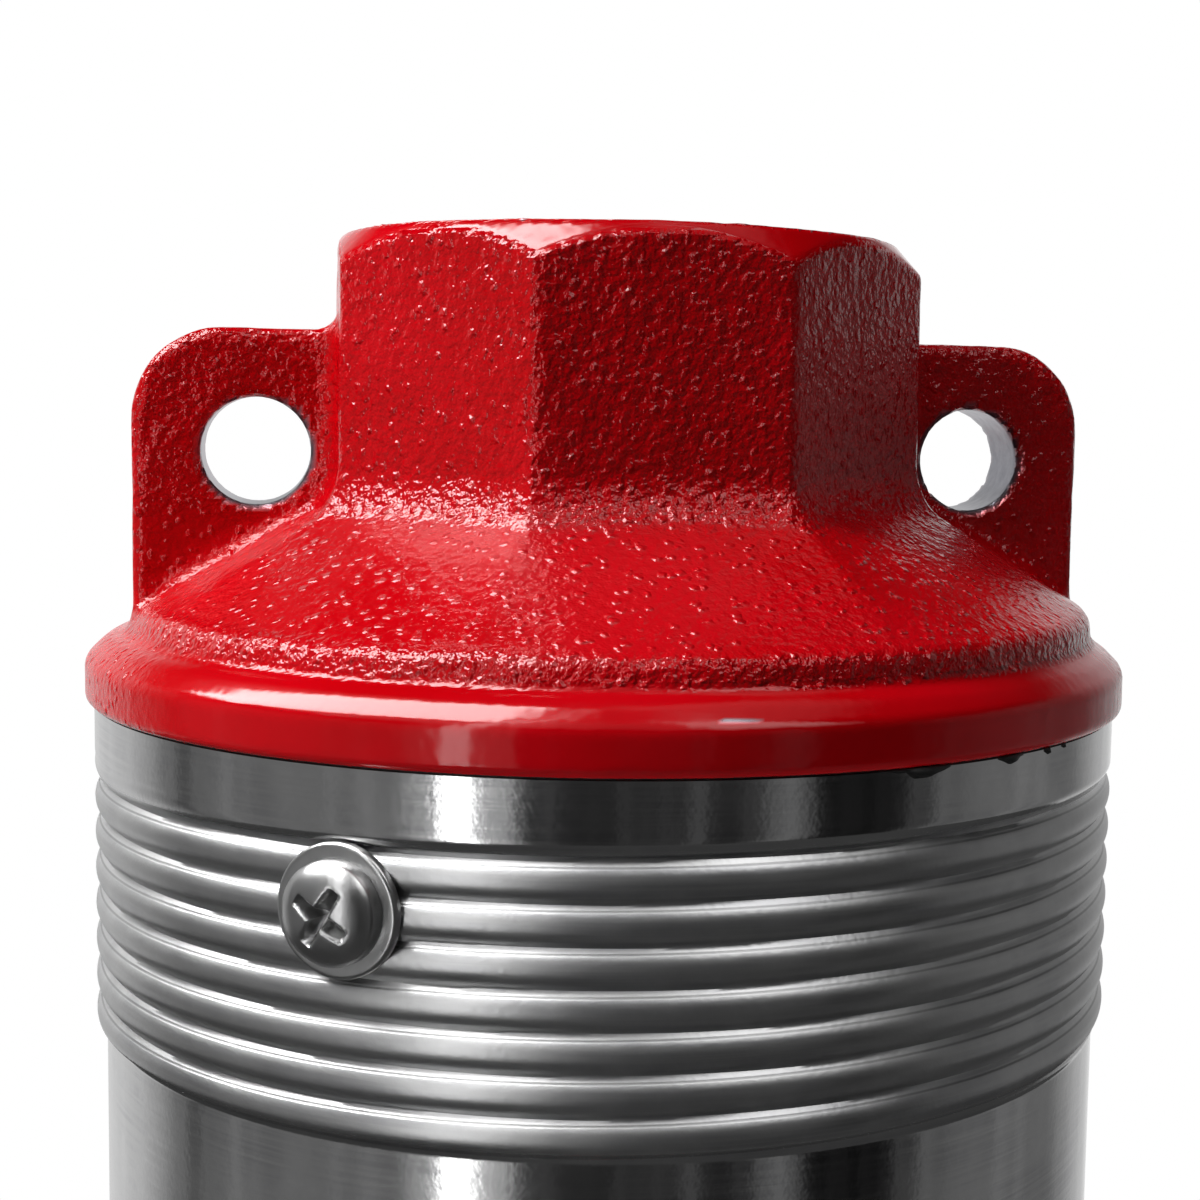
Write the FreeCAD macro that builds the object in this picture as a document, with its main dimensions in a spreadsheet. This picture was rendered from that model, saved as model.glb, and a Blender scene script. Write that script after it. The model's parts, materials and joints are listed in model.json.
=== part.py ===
import FreeCAD, Part
import math
import os
import Sketcher

# Upper assembly of a four inch borehole pump: the pump end that bolts on top of its motor.
# Millimetres, +Z up along the shaft, origin at the centre of the bottom rim, ears along X.

# Driving dimensions
SIZES = [
    ("tube_radius", 48.0, "plain casing tube, outside"),
    ("tube_wall", 1.5, "casing tube sheet"),
    ("thread_rise", 0.9, "crests of the rolled thread above the plain tube"),
    ("thread_pitch", 3.35, "one turn of the rolled thread"),
    ("thread_turns", 7, "turns at each end of the tube"),
    ("thread_first", 5.9, "tube end to the middle of the first valley"),
    ("tube_fit", 0.1, "radial clearance of what slides into the tube"),
    ("gasket_height", 0.6, "ring between a flange and the tube end"),
    ("flange_proud", 0.8, "flanges of the castings beyond the thread crests"),
    ("head_flange_height", 6.4, "discharge head flange, up to the foot of the cone"),
    ("flange_rounding", 1.9, "upper edge of the head flange"),
    ("flange_lower_rounding", 0.8, "lower edge of the head flange"),
    ("foot_inset", 3.1, "foot of the shoulder, in from the flange edge"),
    ("foot_height", 2.6, "upright foot of the shoulder above the flange"),
    ("foot_rounding", 1.0, "upper edge of that foot"),
    ("shoulder_height", 19.0, "where the shoulder meets the wrench socket, above the joint"),
    ("shoulder_fillet", 2.5, "cast fillet between the shoulder and the wrench socket"),
    ("socket_flats", 54.2, "octagonal wrench socket, across flats"),
    ("socket_rounding", 1.0, "upright edges of the wrench socket"),
    ("crease_spread", 3.5, "degrees each side of a corner that the shoulder's crease opens to"),
    ("head_height", 43.45, "top of the wrench socket above the joint"),
    ("rim_radius", 26.5, "flat top of the wrench socket, outside"),
    ("chamfer_drop", 3.15, "fall of the conical chamfer out to the octagon corners"),
    ("outlet_radius", 20.95, "female outlet thread, major radius"),
    ("outlet_depth", 24.0, "length of the outlet thread"),
    ("ear_inset", 1.0, "outer edge of a lifting ear, in from the foot of the shoulder"),
    ("ear_height", 34.4, "top of a lifting ear above the joint"),
    ("ear_thickness", 8.5, "lifting ear plate"),
    ("ear_corner", 8.4, "rounded outer top corner of an ear"),
    ("ear_rounding", 0.8, "edges of an ear"),
    ("ear_fillet", 2.0, "cast fillet at the root of an ear"),
    ("ear_hole_radius", 5.0, "hole in a lifting ear"),
    ("ear_hole_gap", 7.5, "ear hole centre from the face of the wrench socket"),
    ("ear_hole_height", 23.05, "ear hole above the joint"),
    ("skirt_length", 26.0, "threaded skirt of the head inside the tube"),
    ("chamber_radius", 30.0, "valve chamber in the head"),
    ("seat_radius", 34.0, "pocket of the valve seat"),
    ("seat_height", 5.0, "valve seat plate"),
    ("guide_height", 15.0, "step that carries the valve guide, above the joint"),
    ("guide_radius", 19.2, "pocket of the valve guide"),
    ("guide_thickness", 3.0, "valve guide"),
    ("guide_rim", 2.6, "rim and hub wall of the valve guide"),
    ("guide_arm", 2.5, "arms of the valve guide"),
    ("throat_length", 2.0, "straight waterway below the valve guide"),
    ("throat_radius", 17.0, "waterway below the valve guide"),
    ("valve_bore", 19.0, "hole in the valve seat"),
    ("valve_radius", 23.0, "valve disc"),
    ("valve_edge", 2.5, "rim of the valve disc"),
    ("valve_crown", 2.5, "rise of the valve disc to its hub"),
    ("valve_plug", 2.0, "part of the valve disc inside the seat"),
    ("seal_height", 1.5, "rubber ring under the valve disc"),
    ("seal_inset", 0.5, "rubber ring, in from the edges it lies between"),
    ("stem_radius", 3.0, "valve stem"),
    ("stem_rise", 1.0, "valve stem above its guide"),
    ("lock_screw_height", 11.3, "lock screw centre from the tube end"),
    ("lock_screw_angle", -122.8, "lock screw direction about the shaft line"),
    ("lock_screw_radius", 2.4, "lock screw shank"),
    ("lock_screw_flange", 5.4, "lock screw head, washer radius"),
    ("lock_screw_dome", 4.3, "lock screw head, dome radius"),
    ("lock_screw_head", 3.4, "lock screw head height"),
    ("lock_screw_lip", 0.8, "lock screw head, edge of the washer"),
    ("lock_screw_brow", 1.3, "lock screw head, foot of the dome's curve"),
    ("lock_screw_length", 9.0, "lock screw shank length"),
    ("drill_run", 2.0, "how far a drill starts outside what it cuts"),
    ("screw_fit", 0.1, "clearance of a screw in its hole"),
    ("base_radius", 47.5, "motor flange of the suction bracket"),
    ("base_height", 12.0, "motor flange height"),
    ("register_radius", 43.67, "register over the motor spigot"),
    ("register_depth", 4.0, "depth of that register"),
    ("base_bore", 28.0, "opening in the motor flange around the coupling"),
    ("base_rounding", 1.0, "outer edges of the motor flange"),
    ("bolt_circle", 38.1, "motor bolts, radius of the circle"),
    ("bolt_hole", 4.4, "motor bolt hole radius"),
    ("window_height", 44.0, "suction windows"),
    ("window_width", 46.0, "suction windows"),
    ("window_corner", 5.0, "corners of the suction windows"),
    ("column_radius", 44.0, "outside of the bracket columns"),
    ("column_inner", 31.0, "inside of the bracket columns"),
    ("collar_height", 8.0, "collar of the bracket under the tube"),
    ("collar_slope", 10.0, "height over which the waterway widens into the neck"),
    ("neck_length", 22.0, "threaded neck of the bracket inside the tube"),
    ("neck_bore", 38.0, "waterway through the neck"),
    ("strainer_fit", 0.1, "strainer clearance on the columns"),
    ("strainer_wall", 0.8, "strainer sheet"),
    ("slot_width", 3.0, "strainer slot"),
    ("slot_length", 15.0, "strainer slot"),
    ("slot_count", 24, "slots in one row"),
    ("slot_spread", 20.0, "distance between the two rows"),
    ("strainer_screw_radius", 1.9, "strainer screw shank"),
    ("strainer_screw_head", 3.4, "strainer screw head radius"),
    ("strainer_screw_dome", 3.0, "strainer screw head, dome radius"),
    ("strainer_screw_height", 2.2, "strainer screw head height"),
    ("strainer_screw_lip", 0.5, "strainer screw head, edge of the washer"),
    ("strainer_screw_brow", 0.8, "strainer screw head, foot of the dome's curve"),
    ("strainer_screw_length", 7.0, "strainer screw shank length"),
    ("shaft_flats", 11.0, "hexagonal shaft, across flats"),
    ("shaft_fit", 0.06, "clearance around the shaft"),
    ("shaft_end", 1.0, "shaft ends, below the valve seat and above the motor bore"),
    ("coupling_radius", 12.5, "shaft coupling"),
    ("coupling_low", 9.0, "lower end of the coupling"),
    ("coupling_length", 36.0, "shaft coupling"),
    ("motor_bore", 7.7, "lower bore of the coupling"),
    ("stage_count", 4, "impellers"),
    ("stage_height", 27.0, "one stage"),
    ("stage_wall", 2.0, "shell of a stage"),
    ("plate_thickness", 2.0, "inlet plate and stage plates"),
    ("eye_bore", 16.0, "bore around an impeller neck"),
    ("eye_clearance", 0.2, "radial clearance of an impeller neck"),
    ("eye_wall", 2.2, "wall of an impeller neck"),
    ("impeller_radius", 37.0, "impeller"),
    ("impeller_hub", 9.5, "impeller hub"),
    ("shroud_thickness", 1.5, "impeller discs"),
    ("impeller_width", 7.0, "between the impeller discs"),
    ("impeller_rise", 1.0, "impeller above the plate below it"),
    ("neck_gap", 0.2, "impeller neck above the lower face of its plate"),
    ("hub_clearance", 0.5, "diffuser floor around the impeller hub"),
    ("vane_inlet", 4.0, "diffuser vanes begin this far outside the eye"),
    ("vane_thickness", 1.6, "impeller and diffuser vanes"),
    ("vane_sweep", 38.0, "degrees that a vane runs round the shaft line"),
    ("vane_bend", 1.15, "bend radius of a vane, over the run between its radii"),
    ("vane_end", 0.6, "thickness of a vane at its outer end, over the vane's thickness"),
    ("vane_lean", 0.2, "lean of a vane's inner end, over the vane's thickness"),
    ("impeller_vanes", 6, "vanes of an impeller"),
    ("diffuser_vanes", 7, "vanes of a diffuser"),
    ("diffuser_floor", 12.0, "diffuser floor above the stage's lower end"),
    ("diffuser_radius", 40.5, "diffuser floor"),
    ("bearing_height", 10.0, "top bearing housing"),
    ("bearing_ring", 38.0, "inside of the bearing housing ring"),
    ("bearing_hub", 11.0, "hub of the bearing housing"),
    ("bush_radius", 8.0, "outside of the bearing bush"),
    ("web_width", 4.0, "webs of the bearing housing"),
]

doc = FreeCAD.newDocument("pump_end")
sheet = doc.addObject("Spreadsheet::Sheet", "Sizes")
for row, (alias, number, note) in enumerate(SIZES, start=1):
    sheet.set(f"A{row}", alias)
    sheet.set(f"B{row}", str(number))
    sheet.set(f"C{row}", note)
    sheet.setAlias(f"B{row}", alias)
doc.recompute()


class Size:
    """A length that knows its number and the expression it comes from."""

    def __init__(self, number, text):
        self.number = float(number)
        self.text = text

    def __add__(self, other):
        other = size(other)
        return Size(self.number + other.number, f"({self.text} + {other.text})")

    def __sub__(self, other):
        other = size(other)
        return Size(self.number - other.number, f"({self.text} - {other.text})")

    def __mul__(self, other):
        other = size(other)
        return Size(self.number * other.number, f"({self.text} * {other.text})")

    def __truediv__(self, other):
        other = size(other)
        return Size(self.number / other.number, f"({self.text} / {other.text})")

    def __rtruediv__(self, other):
        return size(other) / self

    def __neg__(self):
        return Size(-self.number, f"(0 - {self.text})")

    __radd__ = __add__
    __rmul__ = __mul__

    def __rsub__(self, other):
        return size(other) - self


def size(value):
    """Turn a plain number into a Size; a Size stays as it is."""
    return value if isinstance(value, Size) else Size(value, repr(float(value)))


def cell(alias):
    """The Size behind one cell of the sheet."""
    return Size(sheet.get(alias), f"Sizes.{alias}")


def bind(thing, prop, length):
    """Give a property its number and tie it to the sheet."""
    length = size(length)
    setattr(thing, prop, length.number)
    thing.setExpression(prop, length.text)


# Levels and radii that several pieces share
tube_radius = cell("tube_radius")
band_radius = tube_radius + cell("thread_rise")
flange_radius = band_radius + cell("flange_proud")
foot_radius = flange_radius - cell("foot_inset")
ear_reach = foot_radius - cell("ear_inset")
tube_wall = cell("tube_wall")
inner_radius = tube_radius - tube_wall
stack_radius = inner_radius - cell("tube_fit")
base_height = cell("base_height")
collar_low = base_height + cell("window_height")
strainer_middle = base_height + cell("window_height") / 2
collar_top = collar_low + cell("collar_height")
neck_top = collar_top + cell("neck_length")
stage_low = neck_top + cell("plate_thickness")
stage_height = cell("stage_height")
stages_top = stage_low + cell("stage_count") * stage_height
skirt_low = stages_top + cell("bearing_height")
joint = skirt_low + cell("skirt_length")
gasket_height = cell("gasket_height")
tube_low = collar_top + gasket_height
tube_top = joint - gasket_height
head_top = joint + cell("head_height")
stage_count = int(cell("stage_count").number)


def new_body(name):
    """An empty body whose label is the node's name."""
    body = doc.addObject("PartDesign::Body", name)
    body.Label = name
    return body


def plane(body, role):
    """One of a body's own origin planes, such as XY_Plane."""
    return next(item for item in body.Origin.OriginFeatures if item.Role == role)


def axis(body, role):
    """One of a body's own origin axes, such as Z_Axis."""
    return next(item for item in body.Origin.OriginFeatures if item.Role == role)


def new_sketch(body, name, role, offset=None):
    """A sketch on an origin plane of its body, raised off it by offset."""
    sketch = body.newObject("Sketcher::SketchObject", name)
    sketch.AttachmentSupport = [(plane(body, role), "")]
    sketch.MapMode = "FlatFace"
    if offset is not None:
        offset = size(offset)
        sketch.AttachmentOffset = FreeCAD.Placement(FreeCAD.Vector(0, 0, offset.number), FreeCAD.Rotation())
        sketch.setExpression(".AttachmentOffset.Base.z", offset.text)
    return sketch


def pin(sketch, constraint, length):
    """Add a dimension and tie it to the sheet."""
    number = sketch.addConstraint(constraint)
    sketch.setExpression(f"Constraints[{number}]", size(length).text)


def draw(sketch, corners):
    """A closed outline. A corner is (x, y) or (x, y, radius); a radius bends the run that
    leaves the corner, bulging to its right if positive and to its left if negative."""
    points = [(size(c[0]), size(c[1])) for c in corners]
    first = sketch.GeometryCount
    starts = []
    for number, corner in enumerate(corners):
        here = FreeCAD.Vector(points[number][0].number, points[number][1].number, 0)
        after = points[(number + 1) % len(points)]
        there = FreeCAD.Vector(after[0].number, after[1].number, 0)
        if len(corner) == 2:
            sketch.addGeometry(Part.LineSegment(here, there), False)
            starts.append((first + number, 1, 2))
            continue
        bend = size(corner[2])
        radius = abs(bend.number)
        run = there - here
        left = FreeCAD.Vector(-run.y, run.x, 0).normalize()
        depth = math.sqrt(max(radius ** 2 - (run.Length / 2) ** 2, 0.0))
        turn = 1 if bend.number > 0 else -1
        centre = (here + there) * 0.5 + left * depth * turn
        ends = (here, there) if turn > 0 else (there, here)
        angles = [math.atan2(p.y - centre.y, p.x - centre.x) for p in ends]
        circle = Part.Circle(centre, FreeCAD.Vector(0, 0, 1), radius)
        sketch.addGeometry(Part.ArcOfCircle(circle, *angles), False)
        starts.append((first + number, 1, 2) if turn > 0 else (first + number, 2, 1))
    for number, (edge, begin, end) in enumerate(starts):
        following, start, _ = starts[(number + 1) % len(starts)]
        sketch.addConstraint(Sketcher.Constraint("Coincident", edge, end, following, start))
    for number, (edge, begin, end) in enumerate(starts):
        x, y = points[number]
        pin(sketch, Sketcher.Constraint("DistanceX", edge, begin, x.number), x)
        pin(sketch, Sketcher.Constraint("DistanceY", edge, begin, y.number), y)
        if len(corners[number]) == 3:
            bend = size(corners[number][2])
            bend = bend if bend.number > 0 else -bend
            pin(sketch, Sketcher.Constraint("Radius", edge, bend.number), bend)


def ring(sketch, x, y, radius):
    """A circle in a sketch."""
    x, y, radius = size(x), size(y), size(radius)
    circle = Part.Circle(FreeCAD.Vector(x.number, y.number, 0), FreeCAD.Vector(0, 0, 1), radius.number)
    edge = sketch.addGeometry(circle, False)
    pin(sketch, Sketcher.Constraint("DistanceX", edge, 3, x.number), x)
    pin(sketch, Sketcher.Constraint("DistanceY", edge, 3, y.number), y)
    pin(sketch, Sketcher.Constraint("Radius", edge, radius.number), radius)


def obround(sketch, low, high, radius):
    """A slot with round ends, upright on the sketch's own Y axis."""
    low, high, radius = size(low), size(high), size(radius)
    normal = FreeCAD.Vector(0, 0, 1)
    bottom = Part.Circle(FreeCAD.Vector(0, low.number, 0), normal, radius.number)
    top = Part.Circle(FreeCAD.Vector(0, high.number, 0), normal, radius.number)
    lower = sketch.addGeometry(Part.ArcOfCircle(bottom, math.pi, 2 * math.pi), False)
    upper = sketch.addGeometry(Part.ArcOfCircle(top, 0, math.pi), False)
    sides = []
    for x in (radius.number, -radius.number):
        ends = FreeCAD.Vector(x, low.number, 0), FreeCAD.Vector(x, high.number, 0)
        sides.append(sketch.addGeometry(Part.LineSegment(*ends), False))
    right, left = sides
    sketch.addConstraint(Sketcher.Constraint("Tangent", lower, 2, right, 1))
    sketch.addConstraint(Sketcher.Constraint("Tangent", right, 2, upper, 1))
    sketch.addConstraint(Sketcher.Constraint("Tangent", upper, 2, left, 2))
    sketch.addConstraint(Sketcher.Constraint("Tangent", left, 1, lower, 1))
    sketch.addConstraint(Sketcher.Constraint("Equal", lower, upper))
    sketch.addConstraint(Sketcher.Constraint("PointOnObject", lower, 3, -2))
    sketch.addConstraint(Sketcher.Constraint("PointOnObject", upper, 3, -2))
    pin(sketch, Sketcher.Constraint("DistanceY", lower, 3, low.number), low)
    pin(sketch, Sketcher.Constraint("DistanceY", upper, 3, high.number), high)
    pin(sketch, Sketcher.Constraint("Radius", lower, radius.number), radius)


def regular(flats, sides):
    """The corners of a regular polygon with a flat facing along +X."""
    reach = size(flats) / (2 * math.cos(math.pi / sides))
    angles = [math.pi * (2 * number + 1) / sides for number in range(sides)]
    return [(reach * math.cos(angle), reach * math.sin(angle)) for angle in angles]


def revolve(body, name, corners, kind="PartDesign::Revolution"):
    """Turn an outline of (radius, height) about the shaft line, adding or cutting."""
    sketch = new_sketch(body, f"{name}_outline", "XZ_Plane")
    draw(sketch, corners)
    feature = body.newObject(kind, name)
    feature.Profile = sketch
    feature.ReferenceAxis = (sketch, ["V_Axis"])
    feature.Angle = 360
    doc.recompute()
    return feature


def groove(body, name, corners):
    """Cut a turned hollow."""
    return revolve(body, name, corners, "PartDesign::Groove")


def pad(body, name, sketch, length, both_ways=False):
    """Raise a sketch by a length."""
    feature = body.newObject("PartDesign::Pad", name)
    feature.Profile = sketch
    bind(feature, "Length", length)
    if both_ways:
        feature.SideType = "Symmetric"
    doc.recompute()
    return feature


def pocket(body, name, sketch, length, both_ways=False, reverse=False):
    """Cut a sketch into the body, and make sure that it took something away."""
    before = body.Shape.Volume
    feature = body.newObject("PartDesign::Pocket", name)
    feature.Profile = sketch
    bind(feature, "Length", length)
    feature.Reversed = reverse
    if both_ways:
        feature.SideType = "Symmetric"
    doc.recompute()
    if feature.Shape.Volume >= before:
        raise RuntimeError(f"{name} cuts nothing")
    return feature


def around(body, name, feature, count):
    """Repeat a feature evenly about the shaft line."""
    pattern = body.newObject("PartDesign::PolarPattern", name)
    pattern.Originals = [feature]
    pattern.Axis = (axis(body, "Z_Axis"), [""])
    pattern.Angle = 360
    pattern.Occurrences = int(size(count).number)
    if isinstance(count, Size):
        pattern.setExpression("Occurrences", count.text)
    body.Tip = pattern
    doc.recompute()
    return pattern


def close(number, target):
    """True where a number is at a size."""
    return abs(number - size(target).number) < 0.01


def upright(edge):
    """True for an edge that runs straight up."""
    low, high = edge.Vertexes[0].Point, edge.Vertexes[-1].Point
    return math.hypot(high.x - low.x, high.y - low.y) < 0.01 and abs(high.z - low.z) > 0.5


def round_edges(body, name, radius, wanted):
    """Round the edges that pass a test of their middle point."""
    tip = body.Tip
    names = []
    for number, edge in enumerate(tip.Shape.Edges, start=1):
        if wanted(edge.valueAt((edge.FirstParameter + edge.LastParameter) / 2), edge):
            names.append(f"Edge{number}")
    if not names:
        raise RuntimeError(f"{name} finds no edge")
    feature = body.newObject("PartDesign::Fillet", name)
    feature.Base = (tip, names)
    bind(feature, "Radius", radius)
    doc.recompute()
    return feature


def lift(body, height):
    """Place a finished body at its height."""
    height = size(height)
    body.Placement = FreeCAD.Placement(FreeCAD.Vector(0, 0, height.number), FreeCAD.Rotation())
    body.setExpression(".Placement.Base.z", height.text)


def turned(name, corners):
    """A piece that is one turned outline."""
    body = new_body(name)
    revolve(body, f"{name}_form", corners)
    return body


def tube_outline(inner, outer, low, high):
    """A plain ring."""
    return [(inner, low), (outer, low), (outer, high), (inner, high)]


def discharge_head():
    """Cast head: two ears, flange, shoulder, octagonal wrench socket, skirt and waterway."""
    body = new_body("discharge_head")
    flange_top = joint + cell("head_flange_height")
    foot_top = flange_top + cell("foot_height")
    flats = cell("socket_flats")
    shoulder_top = joint + cell("shoulder_height")
    ear_plates(body, flange_top)
    head_casting(body, flange_top, foot_top)
    rounding = cell("socket_rounding")
    round_foot = new_sketch(body, "foot_outline", "XY_Plane", foot_top)
    draw(round_foot, divided_circle(foot_radius))
    shoulder_edge = new_sketch(body, "shoulder_outline", "XY_Plane", shoulder_top)
    draw(shoulder_edge, soft_octagon(flats, rounding))
    shoulder = body.newObject("PartDesign::AdditiveLoft", "shoulder")
    shoulder.Profile = round_foot
    shoulder.Sections = [shoulder_edge]
    shoulder.Ruled = True
    doc.recompute()
    socket = new_sketch(body, "socket_outline", "XY_Plane", shoulder_top)
    draw(socket, soft_octagon(flats, rounding))
    pad(body, "wrench_socket", socket, head_top - shoulder_top)
    rim = cell("rim_radius")
    corner = flats / (2 * math.cos(math.pi / 8))
    beyond = corner * 2 - rim
    drop = cell("chamfer_drop") * 2
    groove(body, "socket_chamfer", [(rim, head_top), (beyond, head_top - drop), (beyond, head_top)])
    fillet = cell("shoulder_fillet")
    round_edges(body, "foot_fillet", cell("foot_rounding"), lambda at, edge: (
        close(at.z, foot_top) and close(math.hypot(at.x, at.y), foot_radius)
    ))
    half = cell("ear_thickness").number / 2 + 0.05
    face = flats.number / 2
    reach = ear_reach.number + 0.3
    foot_level = foot_top.number
    shoulder_level = shoulder_top.number
    ear_top = (joint + cell("ear_height")).number + 0.1
    round_edges(body, "ear_roots", cell("ear_fillet"), lambda at, edge: (
        abs(at.y) < half and (
            (close(abs(at.x), face) and shoulder_level < at.z < ear_top)
            or (face + 0.01 < abs(at.x) < reach and foot_level < at.z < shoulder_level and not upright(edge))
        )
    ))
    round_edges(body, "socket_fillet", fillet, lambda at, edge: (
        close(at.z, shoulder_top) and math.hypot(at.x, at.y) < corner.number
    ))
    for side, name in ((-1, "left"), (1, "right")):
        hole = new_sketch(body, f"{name}_ear_circle", "XZ_Plane")
        middle = (flats / 2 + cell("ear_hole_gap")) * side
        ring(hole, middle, joint + cell("ear_hole_height"), cell("ear_hole_radius"))
        pocket(body, f"{name}_ear_hole", hole, cell("ear_thickness") * 2, both_ways=True)
    head_waterway(body)
    drill_lock_holes(body, joint - cell("lock_screw_height"), cell("chamber_radius"), stack_radius)
    return body


def divided_circle(radius):
    """A circle split where the faces and the rounded corners of an octagon run down to it."""
    half_face = 22.5 - cell("crease_spread").number
    angles = [math.radians(45 * face + half_face * side) for face in range(8) for side in (-1, 1)]
    return [(radius * math.cos(angle), radius * math.sin(angle), radius) for angle in angles]


def soft_octagon(flats, rounding):
    """An octagon with rounded corners and a flat facing along +X."""
    face = flats / 2
    half = (face - rounding) * math.tan(math.pi / 8)
    corners = []
    for number in range(8):
        across = math.cos(math.radians(45 * number)), math.sin(math.radians(45 * number))
        corners.append((face * across[0] + half * across[1], face * across[1] - half * across[0]))
        corners.append((face * across[0] - half * across[1], face * across[1] + half * across[0], rounding))
    return corners


def ear_plates(body, low):
    """Both lifting ears as one plate through the head, with rounded corners and edges."""
    corner = cell("ear_corner")
    top = joint + cell("ear_height")
    half = cell("ear_thickness") / 2
    sketch = new_sketch(body, "ear_outline", "XZ_Plane")
    draw(sketch, [
        (-ear_reach, low),
        (ear_reach, low),
        (ear_reach, top - corner, corner),
        (ear_reach - corner, top),
        (corner - ear_reach, top, corner),
        (-ear_reach, top - corner),
    ])
    pad(body, "ears", sketch, half * 2, both_ways=True)
    round_edges(body, "ear_edges", cell("ear_rounding"), lambda at, edge: (
        close(abs(at.y), half) and at.z > low.number + 1
    ))


def head_casting(body, flange_top, foot_top):
    """Turned part of the head: skirt, flange and the foot of the shoulder."""
    rounding = cell("flange_rounding")
    low_rounding = cell("flange_lower_rounding")
    revolve(body, "casting", [
        (0, skirt_low),
        (stack_radius, skirt_low),
        (stack_radius, joint),
        (flange_radius - low_rounding, joint, low_rounding),
        (flange_radius, joint + low_rounding),
        (flange_radius, flange_top - rounding, rounding),
        (flange_radius - rounding, flange_top),
        (foot_radius, flange_top),
        (foot_radius, foot_top),
        (0, foot_top),
    ])


def head_waterway(body):
    """Seat pocket, valve chamber, throat, guide pocket and outlet bore."""
    seat = cell("seat_radius")
    chamber = cell("chamber_radius")
    throat = cell("throat_radius")
    guide = cell("guide_radius")
    outlet = cell("outlet_radius")
    seat_top = skirt_low + cell("seat_height")
    guide_low = joint + cell("guide_height")
    outlet_low = head_top - cell("outlet_depth")
    groove(body, "waterway", [
        (0, skirt_low),
        (seat, skirt_low),
        (seat, seat_top),
        (chamber, seat_top),
        (chamber, joint),
        (throat, guide_low - cell("throat_length")),
        (throat, guide_low),
        (guide, guide_low),
        (guide, outlet_low),
        (outlet, outlet_low),
        (outlet, head_top),
        (0, head_top),
    ])


def side_sketch(body, name, angle, distance):
    """A sketch that faces outwards at an angle about the shaft line, distance away from it."""
    angle, distance = size(angle), size(distance)
    sketch = body.newObject("Sketcher::SketchObject", name)
    sketch.AttachmentSupport = [(plane(body, "XY_Plane"), "")]
    sketch.MapMode = "FlatFace"
    turn = FreeCAD.Rotation(FreeCAD.Vector(0, 0, 1), angle.number)
    stand = turn.multiply(FreeCAD.Rotation(90.0, 0.0, 90.0))
    out = turn.multVec(FreeCAD.Vector(distance.number, 0, 0))
    sketch.AttachmentOffset = FreeCAD.Placement(out, stand)
    base = ".AttachmentOffset.Base"
    sketch.setExpression(f"{base}.x", f"{distance.text} * cos({angle.text})")
    sketch.setExpression(f"{base}.y", f"{distance.text} * sin({angle.text})")
    return sketch


def drill(body, name, angle, height, radius, outer, depth):
    """Drill towards the shaft line, from just outside a piece down to a depth below its outside."""
    start = outer + cell("drill_run")
    circle = side_sketch(body, f"{name}_circle", angle, start)
    ring(circle, 0, height, radius + cell("screw_fit"))
    pocket(body, name, circle, depth + cell("drill_run"))


def drill_lock_holes(body, height, inner, outer, end="lock"):
    """Two opposite holes for the lock screws of one joint."""
    for number, turn in ((1, 0.0), (2, 180.0)):
        angle = cell("lock_screw_angle") + turn
        drill(body, f"{end}_hole_{number}", angle, height, cell("lock_screw_radius"), outer, outer - inner)


def rolled_thread(low, side):
    """Outline of one rolled thread as round beads, from the band at a tube end inwards."""
    pitch = cell("thread_pitch")
    rise = cell("thread_rise")
    bead = (pitch * pitch / 4 + rise * rise) / (rise * 2)
    turns = int(cell("thread_turns").number)
    first = low + cell("thread_first") * side
    valleys = [first + pitch * (number * side) for number in range(turns + 1)]
    corners = [(band_radius, low), (band_radius, first - rise * side)]
    corners += [(tube_radius, valley, bead * side) for valley in valleys[:-1]]
    corners.append((tube_radius, valleys[-1]))
    return corners


def casing_tube():
    """Drawn tube with a rolled round thread at each end."""
    body = new_body("casing_tube")
    upper = rolled_thread(tube_top, -1)
    bends = [corner[2] for corner in upper if len(corner) == 3]
    upper = [corner[:2] for corner in upper[::-1]]
    upper = [corner + (-bend,) for corner, bend in zip(upper, bends)] + upper[len(bends):]
    lower = rolled_thread(tube_low, 1)
    revolve(body, "tube_form", [(inner_radius, tube_low)] + lower + upper + [(inner_radius, tube_top)])
    drop = cell("lock_screw_height")
    wall = inner_radius - cell("drill_run")
    drill_lock_holes(body, joint - drop, wall, band_radius, "upper")
    drill_lock_holes(body, collar_top + drop, wall, band_radius, "lower")
    return body


def pan_screw(name, kind, head, height):
    """A domed screw with a washer flange, pointing down the shaft line."""
    shank = cell(f"{kind}_radius")
    length = cell(f"{kind}_length")
    dome = cell(f"{kind}_dome")
    lip = cell(f"{kind}_lip")
    brow = cell(f"{kind}_brow")
    rise = height - brow
    return turned(name, [
        (0, -length),
        (shank, -length),
        (shank, 0),
        (head, 0),
        (head, lip),
        (dome, lip),
        (dome, brow, (dome * dome + rise * rise) / (rise * 2)),
        (0, height),
    ])


def place_screw(body, angle, distance, height):
    """Turn a screw outwards and seat it."""
    angle, distance, height = size(angle), size(distance), size(height)
    turn = FreeCAD.Rotation(FreeCAD.Vector(0, 0, 1), angle.number)
    out = turn.multVec(FreeCAD.Vector(distance.number, 0, 0))
    out.z = height.number
    tip = FreeCAD.Rotation(FreeCAD.Vector(0, 1, 0), 90)
    body.Placement = FreeCAD.Placement(out, turn.multiply(tip))
    body.setExpression(".Placement.Base.x", f"{distance.text} * cos({angle.text})")
    body.setExpression(".Placement.Base.y", f"{distance.text} * sin({angle.text})")
    body.setExpression(".Placement.Base.z", height.text)


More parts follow.
